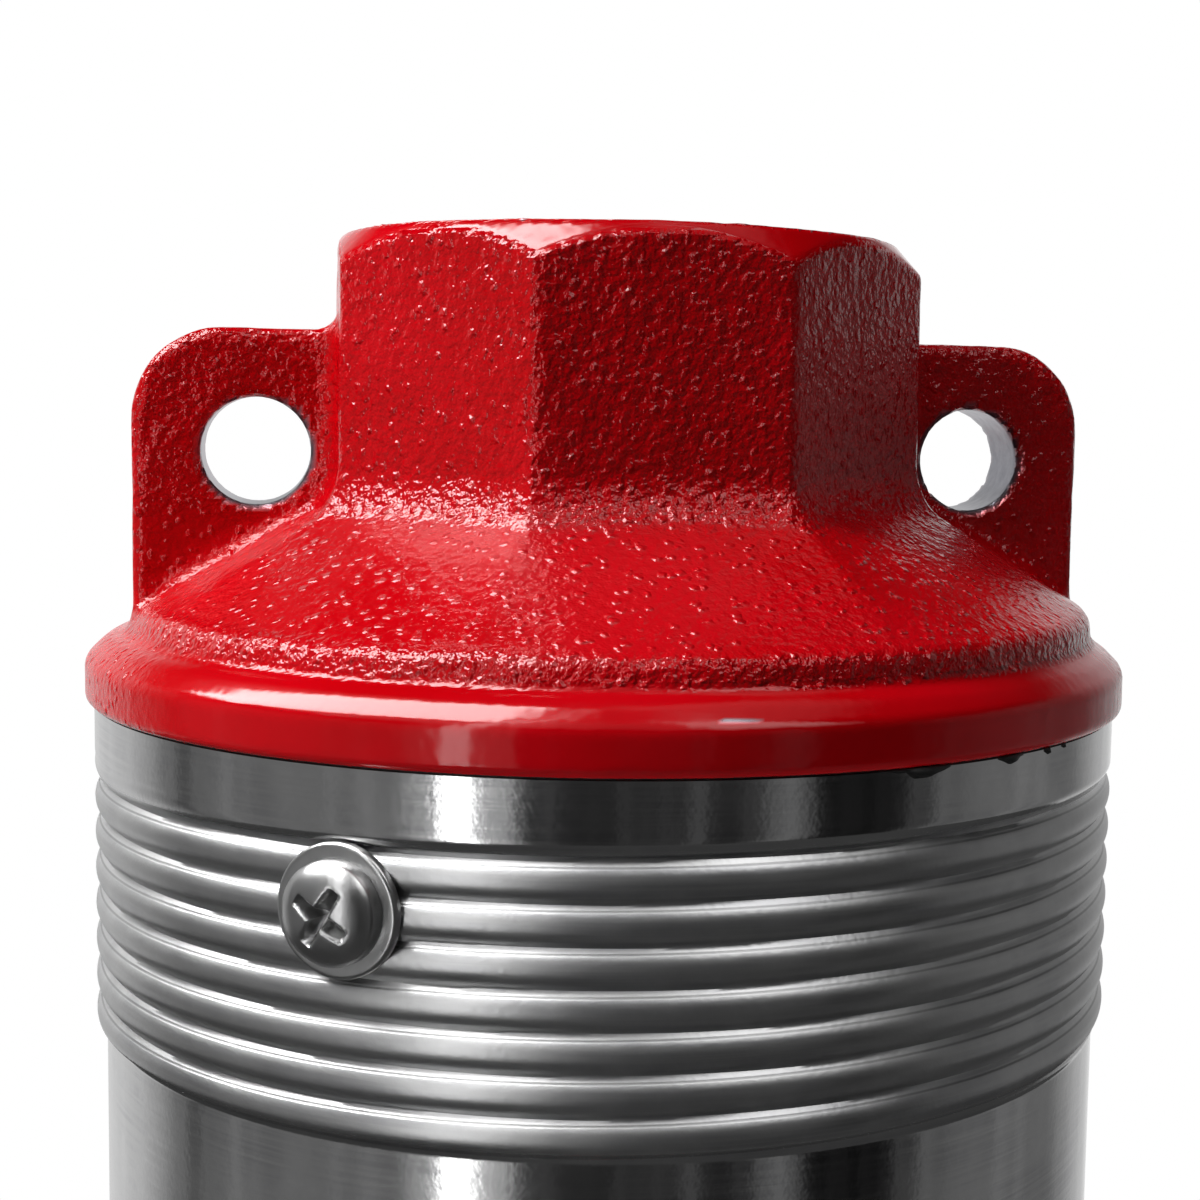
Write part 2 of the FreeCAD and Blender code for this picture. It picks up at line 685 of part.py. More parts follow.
def lock_screws():
    """Two opposite screws at each end of the tube."""
    drop = cell("lock_screw_height")
    for end, height in (("head", joint - drop), ("base", collar_top + drop)):
        for number, turn in ((1, 0.0), (2, 180.0)):
            name = f"{end}_lock_screw_{number}"
            screw = pan_screw(name, "lock_screw", cell("lock_screw_flange"), cell("lock_screw_head"))
            place_screw(screw, cell("lock_screw_angle") + turn, band_radius, height)


def suction_bracket():
    """Cast bracket: motor flange, four columns, collar and threaded neck."""
    body = new_body("suction_bracket")
    rounding = cell("flange_lower_rounding")
    base = cell("base_radius")
    base_rounding = cell("base_rounding")
    register = cell("register_radius")
    depth = cell("register_depth")
    bore = cell("base_bore")
    columns = cell("column_radius")
    inside = cell("column_inner")
    neck_bore = cell("neck_bore")
    slope_top = collar_low + cell("collar_height") / 2
    revolve(body, "casting", [
        (register, 0),
        (base - base_rounding, 0, base_rounding),
        (base, base_rounding),
        (base, base_height - base_rounding, base_rounding),
        (base - base_rounding, base_height),
        (columns, base_height),
        (columns, collar_low),
        (flange_radius - rounding, collar_low, rounding),
        (flange_radius, collar_low + rounding),
        (flange_radius, collar_top - rounding, rounding),
        (flange_radius - rounding, collar_top),
        (stack_radius, collar_top),
        (stack_radius, neck_top),
        (neck_bore, neck_top),
        (neck_bore, slope_top),
        (inside, slope_top - cell("collar_slope")),
        (inside, base_height),
        (bore, base_height),
        (bore, depth),
        (register, depth),
    ])
    half = cell("window_width") / 2
    corner = cell("window_corner")
    window = side_sketch(body, "window_outline", 0, base)
    draw(window, [
        (corner - half, base_height),
        (half - corner, base_height, corner),
        (half, base_height + corner),
        (half, collar_low - corner, corner),
        (half - corner, collar_low),
        (corner - half, collar_low, corner),
        (-half, collar_low - corner),
        (-half, base_height + corner, corner),
    ])
    cut = pocket(body, "window", window, base - bore / 2)
    around(body, "windows", cut, 4)
    bolt = new_sketch(body, "bolt_circle", "XY_Plane", depth / 2)
    ring(bolt, cell("bolt_circle"), 0, cell("bolt_hole"))
    hole = pocket(body, "bolt_hole", bolt, base_height, reverse=True)
    around(body, "bolt_holes", hole, 4)
    drill_lock_holes(body, collar_top + cell("lock_screw_height"), neck_bore, stack_radius)
    for number in range(4):
        angle = 45 + 90 * number
        name = f"strainer_hole_{number + 1}"
        drill(body, name, angle, strainer_middle, cell("strainer_screw_radius"), columns, cell("strainer_screw_length"))
    return body


def intake_strainer():
    """Slotted sheet around the columns of the bracket, with its four screws."""
    body = new_body("intake_strainer")
    inner = cell("column_radius") + cell("strainer_fit")
    wall = cell("strainer_wall")
    outer = inner + wall
    revolve(body, "sheet", tube_outline(inner, outer, base_height, collar_low))
    half = cell("slot_width") / 2
    straight = (cell("slot_length") - cell("slot_width")) / 2
    count = cell("slot_count")
    run = cell("drill_run")
    for name, side in (("lower", -1), ("upper", 1)):
        centre = strainer_middle + cell("slot_spread") / 2 * side
        slot = side_sketch(body, f"{name}_slot_outline", 180 / count, outer + run)
        obround(slot, centre - straight, centre + straight, half)
        cut = pocket(body, f"{name}_slot", slot, wall + run * 2)
        around(body, f"{name}_slots", cut, count)
    shank = cell("strainer_screw_radius")
    head = cell("strainer_screw_head")
    height = cell("strainer_screw_height")
    for number in range(4):
        angle = 45 + 90 * number
        drill(body, f"screw_hole_{number + 1}", angle, strainer_middle, shank, outer, wall + run)
        screw = pan_screw(f"strainer_screw_{number + 1}", "strainer_screw", head, height)
        place_screw(screw, angle, outer, strainer_middle)
    return body


def gaskets():
    """Thin rings that seal both ends of the tube."""
    for name, low in (("head_gasket", tube_top), ("bracket_gasket", collar_top)):
        turned(name, tube_outline(inner_radius, band_radius, low, low + gasket_height))


def check_valve():
    """Seat, seal, disc with stem, and the guide that the stem runs in."""
    seat_top = skirt_low + cell("seat_height")
    bore = cell("valve_bore")
    disc = cell("valve_radius")
    stem = cell("stem_radius")
    fit = cell("shaft_fit")
    inset = cell("seal_inset")
    disc_low = seat_top + cell("seal_height")
    disc_top = disc_low + cell("valve_edge")
    crown_top = disc_top + cell("valve_crown")
    turned("valve_seat", tube_outline(bore, cell("seat_radius") - fit, skirt_low, seat_top))
    turned("valve_seal", tube_outline(bore + inset, disc - inset, seat_top, disc_low))
    guide_low = joint + cell("guide_height")
    guide_high = guide_low + cell("guide_thickness")
    plug = bore - inset * 2
    turned("valve_disc", [
        (0, seat_top - cell("valve_plug")),
        (plug, seat_top - cell("valve_plug")),
        (plug, disc_low),
        (disc, disc_low),
        (disc, disc_top),
        (stem * 3, crown_top),
        (stem, crown_top + stem),
        (stem, guide_high + cell("stem_rise")),
        (0, guide_high + cell("stem_rise")),
    ])
    guide = new_body("valve_guide")
    radius = cell("guide_radius") - fit
    rim = cell("guide_rim")
    revolve(guide, "rim", tube_outline(radius - rim, radius, guide_low, guide_high))
    half = cell("guide_arm") / 2
    arm = new_sketch(guide, "arm_outline", "XY_Plane", guide_low)
    inner = stem + rim / 2
    outer = radius - rim / 2
    draw(arm, [(inner, -half), (outer, -half), (outer, half), (inner, half)])
    web = pad(guide, "arm", arm, cell("guide_thickness"))
    around(guide, "arms", web, 3)
    revolve(guide, "hub", tube_outline(stem + fit, stem + rim, guide_low, guide_high))


def hexagon_hole(body, name, low, length):
    """Cut the hexagonal shaft bore through a hub."""
    flats = cell("shaft_flats") + cell("shaft_fit") * 2
    sketch = new_sketch(body, f"{name}_outline", "XY_Plane", low)
    draw(sketch, regular(flats, 6))
    return pocket(body, name, sketch, length, reverse=True)


def shaft_and_coupling():
    """Hexagonal shaft and the sleeve that joins it to the motor."""
    low = cell("coupling_low")
    length = cell("coupling_length")
    middle = low + length / 2
    shaft = new_body("pump_shaft")
    end = cell("shaft_end")
    outline = new_sketch(shaft, "shaft_outline", "XY_Plane", middle + end)
    draw(outline, regular(cell("shaft_flats"), 6))
    pad(shaft, "hexagon", outline, skirt_low - end - middle - end)
    bore = cell("motor_bore")
    outer = cell("coupling_radius")
    coupling = turned("shaft_coupling", [
        (bore, low),
        (outer, low),
        (outer, low + length),
        (0, low + length),
        (0, middle),
        (bore, middle),
    ])
    hexagon_hole(coupling, "shaft_socket", middle, length)


def stage(number):
    """One stage: a diffuser bowl and the impeller that turns in it."""
    low = stage_low + stage_height * (number - 1)
    bowl = new_body(f"diffuser_{number}")
    plate = cell("plate_thickness")
    shell_inner = stack_radius - cell("stage_wall")
    eye = cell("eye_bore")
    floor_low = cell("diffuser_floor")
    floor_top = floor_low + plate
    roof_low = stage_height - plate
    revolve(bowl, "shell", [
        (shell_inner, 0),
        (stack_radius, 0),
        (stack_radius, stage_height),
        (eye, stage_height),
        (eye, roof_low),
        (shell_inner, roof_low),
    ])
    vane = new_sketch(bowl, "vane_outline", "XY_Plane", floor_top)
    draw(vane, vane_corners(eye + cell("vane_inlet"), shell_inner + plate / 4))
    wing = pad(bowl, "vane", vane, roof_low - floor_top)
    around(bowl, "vanes", wing, cell("diffuser_vanes"))
    hub = cell("impeller_hub")
    revolve(bowl, "floor", tube_outline(hub + cell("hub_clearance"), cell("diffuser_radius"), floor_low, floor_top))
    lift(bowl, low)

    wheel = new_body(f"impeller_{number}")
    rise = cell("impeller_rise")
    disc = cell("shroud_thickness")
    width = cell("impeller_width")
    tip = cell("impeller_radius")
    neck = eye - cell("eye_clearance")
    neck_bore = neck - cell("eye_wall")
    neck_low = cell("neck_gap") - plate
    lower_top = rise + disc
    upper_low = lower_top + width
    revolve(wheel, "hub_and_upper_disc", [
        (0, neck_low),
        (hub, neck_low),
        (hub, upper_low),
        (tip, upper_low),
        (tip, upper_low + disc),
        (hub, upper_low + disc),
        (hub, neck_low + stage_height),
        (0, neck_low + stage_height),
    ])
    blade = new_sketch(wheel, "vane_outline", "XY_Plane", lower_top)
    draw(blade, vane_corners(neck_bore + disc / 2, tip))
    wing = pad(wheel, "vane", blade, width)
    around(wheel, "vanes", wing, cell("impeller_vanes"))
    revolve(wheel, "lower_disc", [
        (neck_bore, neck_low),
        (neck, neck_low),
        (neck, rise),
        (tip, rise),
        (tip, lower_top),
        (neck_bore, lower_top),
    ])
    hexagon_hole(wheel, "shaft_bore", neck_low, stage_height)
    lift(wheel, low)


def vane_corners(inner, outer):
    """A curved vane that starts on the X axis at inner and ends at outer, swept back."""
    thick = cell("vane_thickness")
    end = thick * cell("vane_end")
    sweep = math.radians(cell("vane_sweep").number)
    end_x = outer * math.cos(sweep)
    end_y = outer * math.sin(sweep)
    bend = (outer - inner) * cell("vane_bend")
    return [
        (inner, 0, bend),
        (end_x, end_y),
        (end_x - end * math.sin(sweep), end_y + end * math.cos(sweep), -bend),
        (inner - thick * cell("vane_lean"), thick),
    ]


def top_bearing():
    """Spider between the last stage and the head, with the bush that carries the shaft."""
    low = stages_top
    height = cell("bearing_height")
    housing = new_body("top_bearing_housing")
    ring_inner = cell("bearing_ring")
    hub = cell("bearing_hub")
    bush = cell("bush_radius")
    revolve(housing, "rim", tube_outline(ring_inner, stack_radius, low, low + height))
    half = cell("web_width") / 2
    outline = new_sketch(housing, "web_outline", "XY_Plane", low)
    draw(outline, [(bush + half, -half), (ring_inner + half, -half), (ring_inner + half, half), (bush + half, half)])
    web = pad(housing, "web", outline, height)
    around(housing, "webs", web, 4)
    revolve(housing, "hub", tube_outline(bush, hub, low, low + height))
    corner = cell("shaft_flats") / (2 * math.cos(math.pi / 6))
    turned("top_bearing_bush", tube_outline(corner + cell("shaft_fit"), bush, low, low + height))


discharge_head()
casing_tube()
lock_screws()
suction_bracket()
intake_strainer()
gaskets()
check_valve()
shaft_and_coupling()
turned("inlet_plate", tube_outline(cell("eye_bore"), stack_radius, neck_top, stage_low))
for number in range(1, stage_count + 1):
    stage(number)
top_bearing()
doc.recompute()

for item in doc.Objects:
    if "Invalid" in item.State or "Error" in item.State:
        raise RuntimeError(f"{item.Name} failed: {item.State}")
pieces = [item for item in doc.Objects if item.TypeId == "PartDesign::Body"]
for piece in pieces:
    if piece.Shape.isNull() or not piece.Shape.isValid() or len(piece.Shape.Solids) != 1:
        raise RuntimeError(f"{piece.Label} is not one valid solid")

os.makedirs("parts", exist_ok=True)
for piece in pieces:
    piece.Shape.exportStep(f"parts/{piece.Label}.step")
    print(piece.Label, round(piece.Shape.Volume), piece.Shape.BoundBox)
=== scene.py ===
import bmesh
import bpy
import json
import math
import numpy as np
from mathutils import Matrix, Vector


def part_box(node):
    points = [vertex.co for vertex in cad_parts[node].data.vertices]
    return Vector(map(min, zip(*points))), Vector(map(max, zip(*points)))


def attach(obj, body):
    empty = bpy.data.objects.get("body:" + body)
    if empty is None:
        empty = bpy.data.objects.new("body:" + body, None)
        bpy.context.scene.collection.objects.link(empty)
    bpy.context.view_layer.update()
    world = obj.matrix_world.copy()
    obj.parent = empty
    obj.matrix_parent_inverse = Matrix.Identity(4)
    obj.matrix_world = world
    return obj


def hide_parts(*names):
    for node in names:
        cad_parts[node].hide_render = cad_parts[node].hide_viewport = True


# Pump end of a four inch borehole pump, dressed round its CAD frame.
# Lengths are millimetres until a mesh is made, with Z up along the shaft and the ears along X.

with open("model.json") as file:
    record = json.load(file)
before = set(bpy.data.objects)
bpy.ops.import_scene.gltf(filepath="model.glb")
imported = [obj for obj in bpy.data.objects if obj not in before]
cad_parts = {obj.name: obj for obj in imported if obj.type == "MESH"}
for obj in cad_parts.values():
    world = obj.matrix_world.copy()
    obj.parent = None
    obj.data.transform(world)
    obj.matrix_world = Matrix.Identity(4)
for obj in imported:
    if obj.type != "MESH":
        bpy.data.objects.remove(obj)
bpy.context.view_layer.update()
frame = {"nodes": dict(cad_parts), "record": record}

MM = 0.001


def node_box(node):
    """Lowest and highest corner of a CAD node in millimetres."""
    low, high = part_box(node)
    return [value / MM for value in low], [value / MM for value in high]


# Levels and radii, read from the frame but for the wall of the tube under its crests
CREST_TO_BORE = 2.4
gasket_low, gasket_high = node_box("head_gasket")
joint = gasket_high[2]
head_low, head_high = node_box("discharge_head")
head_height = head_high[2] - joint
flange_radius = head_high[0]
tube_low, tube_high = node_box("casing_tube")
crest_radius = tube_high[0]
inner_radius = crest_radius - CREST_TO_BORE
collar_top = node_box("bracket_gasket")[0][2]

# Head, above the joint
SOCKET_FLATS = 54.2
SOCKET_ROUNDING = 1.3
RIM_RADIUS = 26.5
RIM_ROUNDING = 0.25
CHAMFER_DROP = 3.15
CHAMFER_ROUNDING = 0.3
FLANGE_TOP = 6.3
FLANGE_BEVEL = 2.45
FLANGE_SIDE_ROUNDING = 0.45
FLANGE_TOP_ROUNDING = 1.2
FLANGE_LOW_ROUNDING = 0.8
FLANGE_FILLET = 1.3
FOOT_RADIUS = flange_radius - 3.7
FOOT_TOP = 8.4
FOOT_ROUNDING = 1.0
SHOULDER_TOP = 19.0
SHOULDER_FILLET = 2.6
EAR_REACH = 45.85
EAR_LOW = 2.0
EAR_TOP = 34.4
EAR_CORNER = 8.4
EAR_HALF = 4.25
EAR_ROUNDING = 1.0
EAR_FILLET = 2.2
EAR_FILLET_LOSS = 1.4
EAR_FILLET_ENDS = (41.0, 45.0)
EAR_HOLE = (34.6, 23.05, 5.0)
EAR_HOLE_ROUNDING = 0.3
EAR_HOLE_OVERSHOOT = 3.0
OUT_OF_REACH = 9.0
NEAR_AXIS = 1.0
OUTLET_RADIUS = 20.95
OUTLET_DEPTH = 24.0
GUIDE_RADIUS = 19.2
THROAT_RADIUS = 17.0
THROAT_TOP = 15.0
THROAT_LOW = 13.0
CHAMBER_RADIUS = 30.0
SEAT_RADIUS = 34.0
SEAT_HEIGHT = 5.0
SKIRT_PLAY = 0.1
SKIRT_COLUMNS = 96

# How far the raw casting sits off the axis of what was turned
CAST_SHIFT = 0.55
CAST_LEAN = 0.011
CAST_TURN = math.radians(0.35)

# Mesh of the head: its grid, upwards as levels with the spacing from there on, and how its points
# settle on the surface
GRID_REACH = 50.2
GRID_ACROSS = 0.63
GRID_UPWARD = ((-0.6, 0.4), (10.0, 0.58), (23.0, 0.8), (39.0, 0.4))
GRID_OVER = 0.6
SETTLE_ROUNDS = 4
SETTLE_LIMIT = 0.5
LEAST_SLOPE = 0.2

# Cast skin: the random lattice behind its lumps, and their sizes and heights
LATTICE = 64
LATTICE_OFFSET = 1000.0
CAST_LUMPS = ((2.4, 0.05), (6.0, 0.07), (1.4, 0.04))

# Where that skin is smooth: depths or levels between which a turned or bored place fades into it
EAR_HOLE_FADE = (-0.25, -0.05)
CHAMFER_FADE = (-0.2, -0.05)
BORE_FADE = (0.3, 0.6)
FLANGE_FADE = (FLANGE_TOP - 0.2, FLANGE_TOP + 0.8)
FLANGE_ENDS = (40.0, 48.0)
FLANGE_END_ROUGHNESS = 0.35
FOOT_RAISED = 4.0
SLOPE_LOW_FADE = (FOOT_TOP, FOOT_TOP + 1)
SLOPE_HIGH_FADE = (SHOULDER_TOP - 2.5, SHOULDER_TOP)
SLOPE_SMOOTHNESS = 0.6

# Chips in the enamel: bearing in degrees, level, distance from the axis and size
CHIPS = ((-115.1, 43.4, 26.4, (0.35, 0.35, 0.25)), (-86.5, 4.4, 49.0, (1.6, 0.5, 0.16)))
CHIP_FADE = (0.8, 1.2)

# Rolled thread and its crease, which start and end between pairs of places in turns
THREAD_PITCH = 3.35
THREAD_RISE = 0.9
THREAD_TURNS = 7
THREAD_FIRST = 5.9
THREAD_START = (-0.6, -0.35)
THREAD_END = (-0.2, 0.08)
VALLEY_ROUNDING = 0.12
CREASE_PLACE = 0.14
CREASE_START = (-0.4, 0.1)
CREASE_END = (THREAD_TURNS - 0.4, THREAD_TURNS)
CREASE_WIDTH = (0.004, 0.04)
TUBE_WELD = 0.02

# Screws: their forms and places, and the shares of a head that shape its lip, dome and recess
LOCK_SCREW = {"radius": 5.4, "dome": 4.15, "height": 3.4, "recess": 2.5}
STRAINER_SCREW = {"radius": 3.4, "dome": 2.9, "height": 2.2, "recess": 1.7, "columns": 48}
LOCK_DROP = 11.3
LOCK_ANGLE = -122.8
LOCK_SPIN = 59.0
STRAINER_ANGLE = 45.0
STRAINER_SPIN = 20.0
LIP_SHARE = 0.22
BRIM_SHARE = 0.93
BRIM_START = 0.3
BRIM_RINGS = 4
DOME_END = 0.97
DOME_FOOT = (1.0, 1.015, 1.06)
DOME_RINGS = 26
DOME_CURVE = 0.92
RECESS_SHARE = 0.62
RECESS_ARM = 0.27
RECESS_EDGE = (-0.22, 0.06)

# Seals: how far sealant is squeezed out, sizes and seeds of its lumps, and its runs as bearing and
# width in degrees and an amount
RING_SQUEEZE = 0.4
SEALANT_MOST = 1.2
SEALANT_INSET = 0.15
SEALANT_BULGES = (0.6, 0.45)
SEALANT_DROPS = (0.7, 0.35)
SEALANT_EVEN = 0.8
SEALANT_RAGGED = 0.4
SEALANT_LUMPS = ((2.6, 11), (0.9, 12))
SEALANT_COLUMNS = 720
SEALANT_RUNS = (
    (-59.5, 3.4, 1.2),
    (-47.3, 1.8, 1.1),
    (-41.2, 0.6, 0.9),
    (-37.5, 0.6, 0.8),
    (20, 7, 0.7),
    (100, 12, 0.8),
)

# Outlet thread
OUTLET_PITCH = 2.309
OUTLET_TOOTH = 1.48
OUTLET_ROWS = 9
OUTLET_WALL = 0.4
OUTLET_LEAD = 0.4
OUTLET_FOOT = 0.6
OUTLET_FADES = (2.0, 1.5)
OUTLET_COLUMNS = 180

# Enamel over the casting: size and height of what stands in it
PEEL_SIZE = 0.9
PEEL_HEIGHT = 0.40
SWELL_SIZE = 3.2
SWELL_HEIGHT = 0.25
RIPPLE_SIZE = 1.6
RIPPLE_HEIGHT = 0.03
BEAD_SIZE = 1.25
BEAD_HEIGHT = 0.15
BEAD_EDGE = 0.42
BEAD_DRIFT = 0.7
DRIFT_SIZE = 0.9
TONE_SIZE = 16.0
ENAMEL_ROUGHNESS = 0.12
ENAMEL_IOR = 1.4

# Rolled stainless: sizes and heights of its marks, stains and specks
MARK_SIZE = 1.0
MARK_STRETCH = (0.03, 0.03, 2.2)
MARK_HEIGHT = 0.004
STAIN_SIZE = 11.0
STAIN_HEIGHT = 0.02
SPECK_SIZE = 0.5
SPECK_HEIGHT = 0.006
SPECK_HEIGHT_ON_THREAD = 0.012
CREASE_DEPTH = 0.012

# Other steels and rubber
CLOUD_SIZE = 9.0
FINE_SIZE = 0.5
FINE_STRETCH = (1.0, 1.0, 0.15)
FINE_HEIGHT = 0.02
RUBBER_GRAIN_SIZE = 0.6
RUBBER_GRAIN_HEIGHT = 0.06

# Colours
DEEP_RED = (0.49, 0.0004, 0.003)
BRIGHT_RED = (0.55, 0.0008, 0.005)
DEEP_DRILLED = (0.18, 0.18, 0.21)
BRIGHT_DRILLED = (0.36, 0.36, 0.40)
DEEP_TUBE = (0.46, 0.46, 0.47)
BRIGHT_TUBE = (0.64, 0.64, 0.64)
WORN_TUBE = (0.58, 0.58, 0.58)
# Painted shade: the dark grey that the crease of the rolled thread is darkened towards
CREASE_PAINTED_SHADE = (0.10, 0.10, 0.10)
PRESSED_STEEL = (0.60, 0.60, 0.60)
SCREW_STEEL = (0.55, 0.55, 0.55)
BRASS = (0.62, 0.42, 0.20)
CUT_IRON = (0.36, 0.35, 0.34)
FLOOR_GREY = (0.9, 0.9, 0.9)
WHITE = (1.0, 1.0, 1.0)

# Camera of the photograph, with the part turned in front of it. Angles are in radians, and the
# focal length, the column that the lens looks at and the photo's width are in its pixels.
PART_TURN = math.radians(8.0)
CAMERA_DISTANCE = 197.43
CAMERA_RISE = 27.87
CAMERA_YAW = 0.0447
CAMERA_PITCH = -0.0960
CAMERA_ROLL = 0.0186
CAMERA_FOCAL = 2006.8
CAMERA_CENTRE = 700
PHOTO_SIZE = 1200
SENSOR_WIDTH = 36.0
CLIP_START = 10.0

# Floor, which fades to white between two shares of its reach
FLOOR_REACH = 450.0
FLOOR_CORNERS = 96
FLOOR_FADE = (0.25, 0.9)
FLOOR_WHITE = 0.35
FLOOR_GLOSS = 0.06

# Room that shows in the metal and the enamel. Each light in it has a middle, a half width and a
# soft edge in degrees, as bearings seen from the camera, and then a brightness.
WALLS = (
    (112, 16, 45, 0.72),
    (72, 12, 28, 0.4),
    (-160, 22, 14, 0.18),
    (22, 14, 37, 0.17),
    (-52, 2.5, 5, 0.13),
    (-85, 20, 8, 0.022),
)
WINDOW = ((-121.7, 0.6, 3.5, 4.5), (-116, 2, 7, 0.5), (-125, 5, 5, 0.25))
CEILING = ((-160, 35, 35, 0.75), (-95, 20, 25, 0.32), (-48, 8, 15, 3.2))
HIGH_CEILING = ((10, 45, 15, 0.35),)
ROOM_DARK = 0.004
CLUTTER_GLOSS = 0.10
CLUTTER_SCALE = 9.0
WORLD_FILL = 0.03

# Heights in that room, where 0 is level and 1 is straight up
WALL_TOP = (0.3, 0.52)
CEILING_START = (0.5, 0.75)
CEILING_END = (0.9, 0.99)
HIGH_CEILING_START = (0.82, 0.92)

# Soft box overhead: which way it lies, and its edges as shares of its height over the head
SOFTBOX_TURN = math.radians(-38)
SOFTBOX_START = (-1.6, -1.4)
SOFTBOX_END = (-0.12, -0.06)
SOFTBOX_NEAR = (0.04, 0.10)
SOFTBOX_FAR = (0.6, 0.7)
SOFTBOX_CLIMB = (0.2, 0.3)
SOFTBOX_GLOSS = 17.0

# Lamps: name, bearing and climb in degrees, distance, width, height and power in watts
LAMPS = (
    ("key_softbox", -160, 38, 620, 200, 160, 4.1),
    ("overhead", -90, 85, 600, 400, 400, 1.5),
    ("back_left_fill", 140, 25, 700, 400, 400, 1.2),
    ("back_right_fill", 45, 25, 700, 400, 400, 0.6),
)


# Shapes as distance fields, negative inside

def fillet_union(a, b, radius):
    """Join two fields with a round fillet."""
    corner = np.hypot(np.maximum(radius - a, 0), np.maximum(radius - b, 0))
    return np.maximum(radius, np.minimum(a, b)) - corner


def rounded_cut(a, b, radius):
    """Keep what lies in both fields, with a rounded edge."""
    corner = np.hypot(np.maximum(radius + a, 0), np.maximum(radius + b, 0))
    return np.minimum(-radius, np.maximum(a, b)) + corner


def folded_octagon(x, y):
    """Distance along and across the nearest face normal of an octagon with a flat along +X."""
    angle = np.arctan2(y, x)
    face = np.round(angle / (math.pi / 4)) * (math.pi / 4)
    along = x * np.cos(face) + y * np.sin(face)
    across = np.abs(-x * np.sin(face) + y * np.cos(face))
    return along, across


def octagon_field(x, y, flats, rounding):
    """An octagonal prism with rounded upright edges."""
    along, across = folded_octagon(x, y)
    reach = flats / 2 - rounding
    half = reach * math.tan(math.pi / 8)
    return np.where(
        across < half,
        along - reach,
        np.hypot(np.maximum(along - reach, 0), across - half) + np.minimum(along - reach, 0),
    ) - rounding


def as_cast(x, y, z):
    """Places in the raw casting, which sits a little off the axis of what was turned."""
    angle = -CAST_TURN * ramp(z, FLANGE_TOP, SHOULDER_TOP)
    moved = x - CAST_SHIFT
    return moved * np.cos(angle) - y * np.sin(angle), moved * np.sin(angle) + y * np.cos(angle)


def chamfer_field(r, z):
    """Cone turned over the corners of the wrench socket."""
    run = SOCKET_FLATS / 2 / math.cos(math.pi / 8) - RIM_RADIUS
    return ((r - RIM_RADIUS) * CHAMFER_DROP + (z - head_height) * run) / math.hypot(CHAMFER_DROP, run)


def ear_hole_field(x, z):
    """The holes through both ears, as if they ran on for ever."""
    middle, level, radius = EAR_HOLE
    return np.hypot(np.abs(x) - middle, z - level) - radius


def head_field(x, y, z):
    """Outer form of the discharge head, z above the joint."""
    rim = np.hypot(x, y) - flange_radius
    bevel = (rim + z - FLANGE_TOP + FLANGE_BEVEL) / math.sqrt(2)
    flange = rounded_cut(rim, bevel, FLANGE_SIDE_ROUNDING)
    flange = rounded_cut(flange, z - FLANGE_TOP, FLANGE_TOP_ROUNDING)
    flange = rounded_cut(flange, -z, FLANGE_LOW_ROUNDING)
    x, y = as_cast(x, y, z)
    r = np.hypot(x, y)
    along = folded_octagon(x, y)[0]
    climb = (z - CAST_LEAN * x - FOOT_TOP) / (SHOULDER_TOP - FOOT_TOP)
    octagon_reach = (SOCKET_FLATS / 2) * r / np.maximum(along, NEAR_AXIS)
    reach = FOOT_RADIUS + (octagon_reach - FOOT_RADIUS) * climb
    slope = math.hypot(1.0, (FOOT_RADIUS - SOCKET_FLATS / 2) / (SHOULDER_TOP - FOOT_TOP))
    shoulder = rounded_cut((r - reach) / slope, r - FOOT_RADIUS, FOOT_ROUNDING)
    shoulder = np.maximum(shoulder, -z)
    socket = octagon_field(x, y, SOCKET_FLATS, SOCKET_ROUNDING)
    socket = rounded_cut(socket, chamfer_field(r, z), CHAMFER_ROUNDING)
    socket = rounded_cut(socket, z - head_height, RIM_ROUNDING)
    socket = np.maximum(socket, -z)
    ear = rounded_cut(np.abs(x) - EAR_REACH, z - EAR_TOP, EAR_CORNER)
    ear = rounded_cut(ear, np.abs(y) - EAR_HALF, EAR_ROUNDING)
    ear = np.maximum(ear, EAR_LOW - z)
    body = fillet_union(shoulder, socket, SHOULDER_FILLET)
    body = fillet_union(body, ear, EAR_FILLET - EAR_FILLET_LOSS * ramp(np.abs(x), *EAR_FILLET_ENDS))
    hole = np.where(np.abs(y) < EAR_HALF + EAR_HOLE_OVERSHOOT, ear_hole_field(x, z), OUT_OF_REACH)
    body = rounded_cut(body, -hole, EAR_HOLE_ROUNDING)
    return fillet_union(flange, body, FLANGE_FILLET)


def head_with_bore(x, y, z):
    """The head above the joint, with its waterway open."""
    r = np.hypot(x, y)
    cone = (CHAMBER_RADIUS - THROAT_RADIUS) / THROAT_LOW
    chamber = (r - (CHAMBER_RADIUS - cone * z)) / math.hypot(1, cone)
    throat = r - THROAT_RADIUS
    lower = np.where(z < THROAT_LOW, np.minimum(chamber, throat), throat)
    guide = np.maximum(r - GUIDE_RADIUS, THROAT_TOP - z)
    outlet = np.maximum(r - OUTLET_RADIUS, head_height - OUTLET_DEPTH - z)
    bore = np.minimum(np.minimum(lower, guide), outlet)
    return np.maximum(np.maximum(head_field(x, y, z), -bore), -z)


def steps(*runs):
    """Grid lines from runs of (start, spacing), the last run ending the grid."""
    lines = []
    for (start, spacing), (end, _) in zip(runs, runs[1:]):
        count = max(1, int(round((end - start) / spacing)))
        lines.extend(start + (end - start) * number / count for number in range(count))
    lines.append(runs[-1][0])
    return np.array(lines)


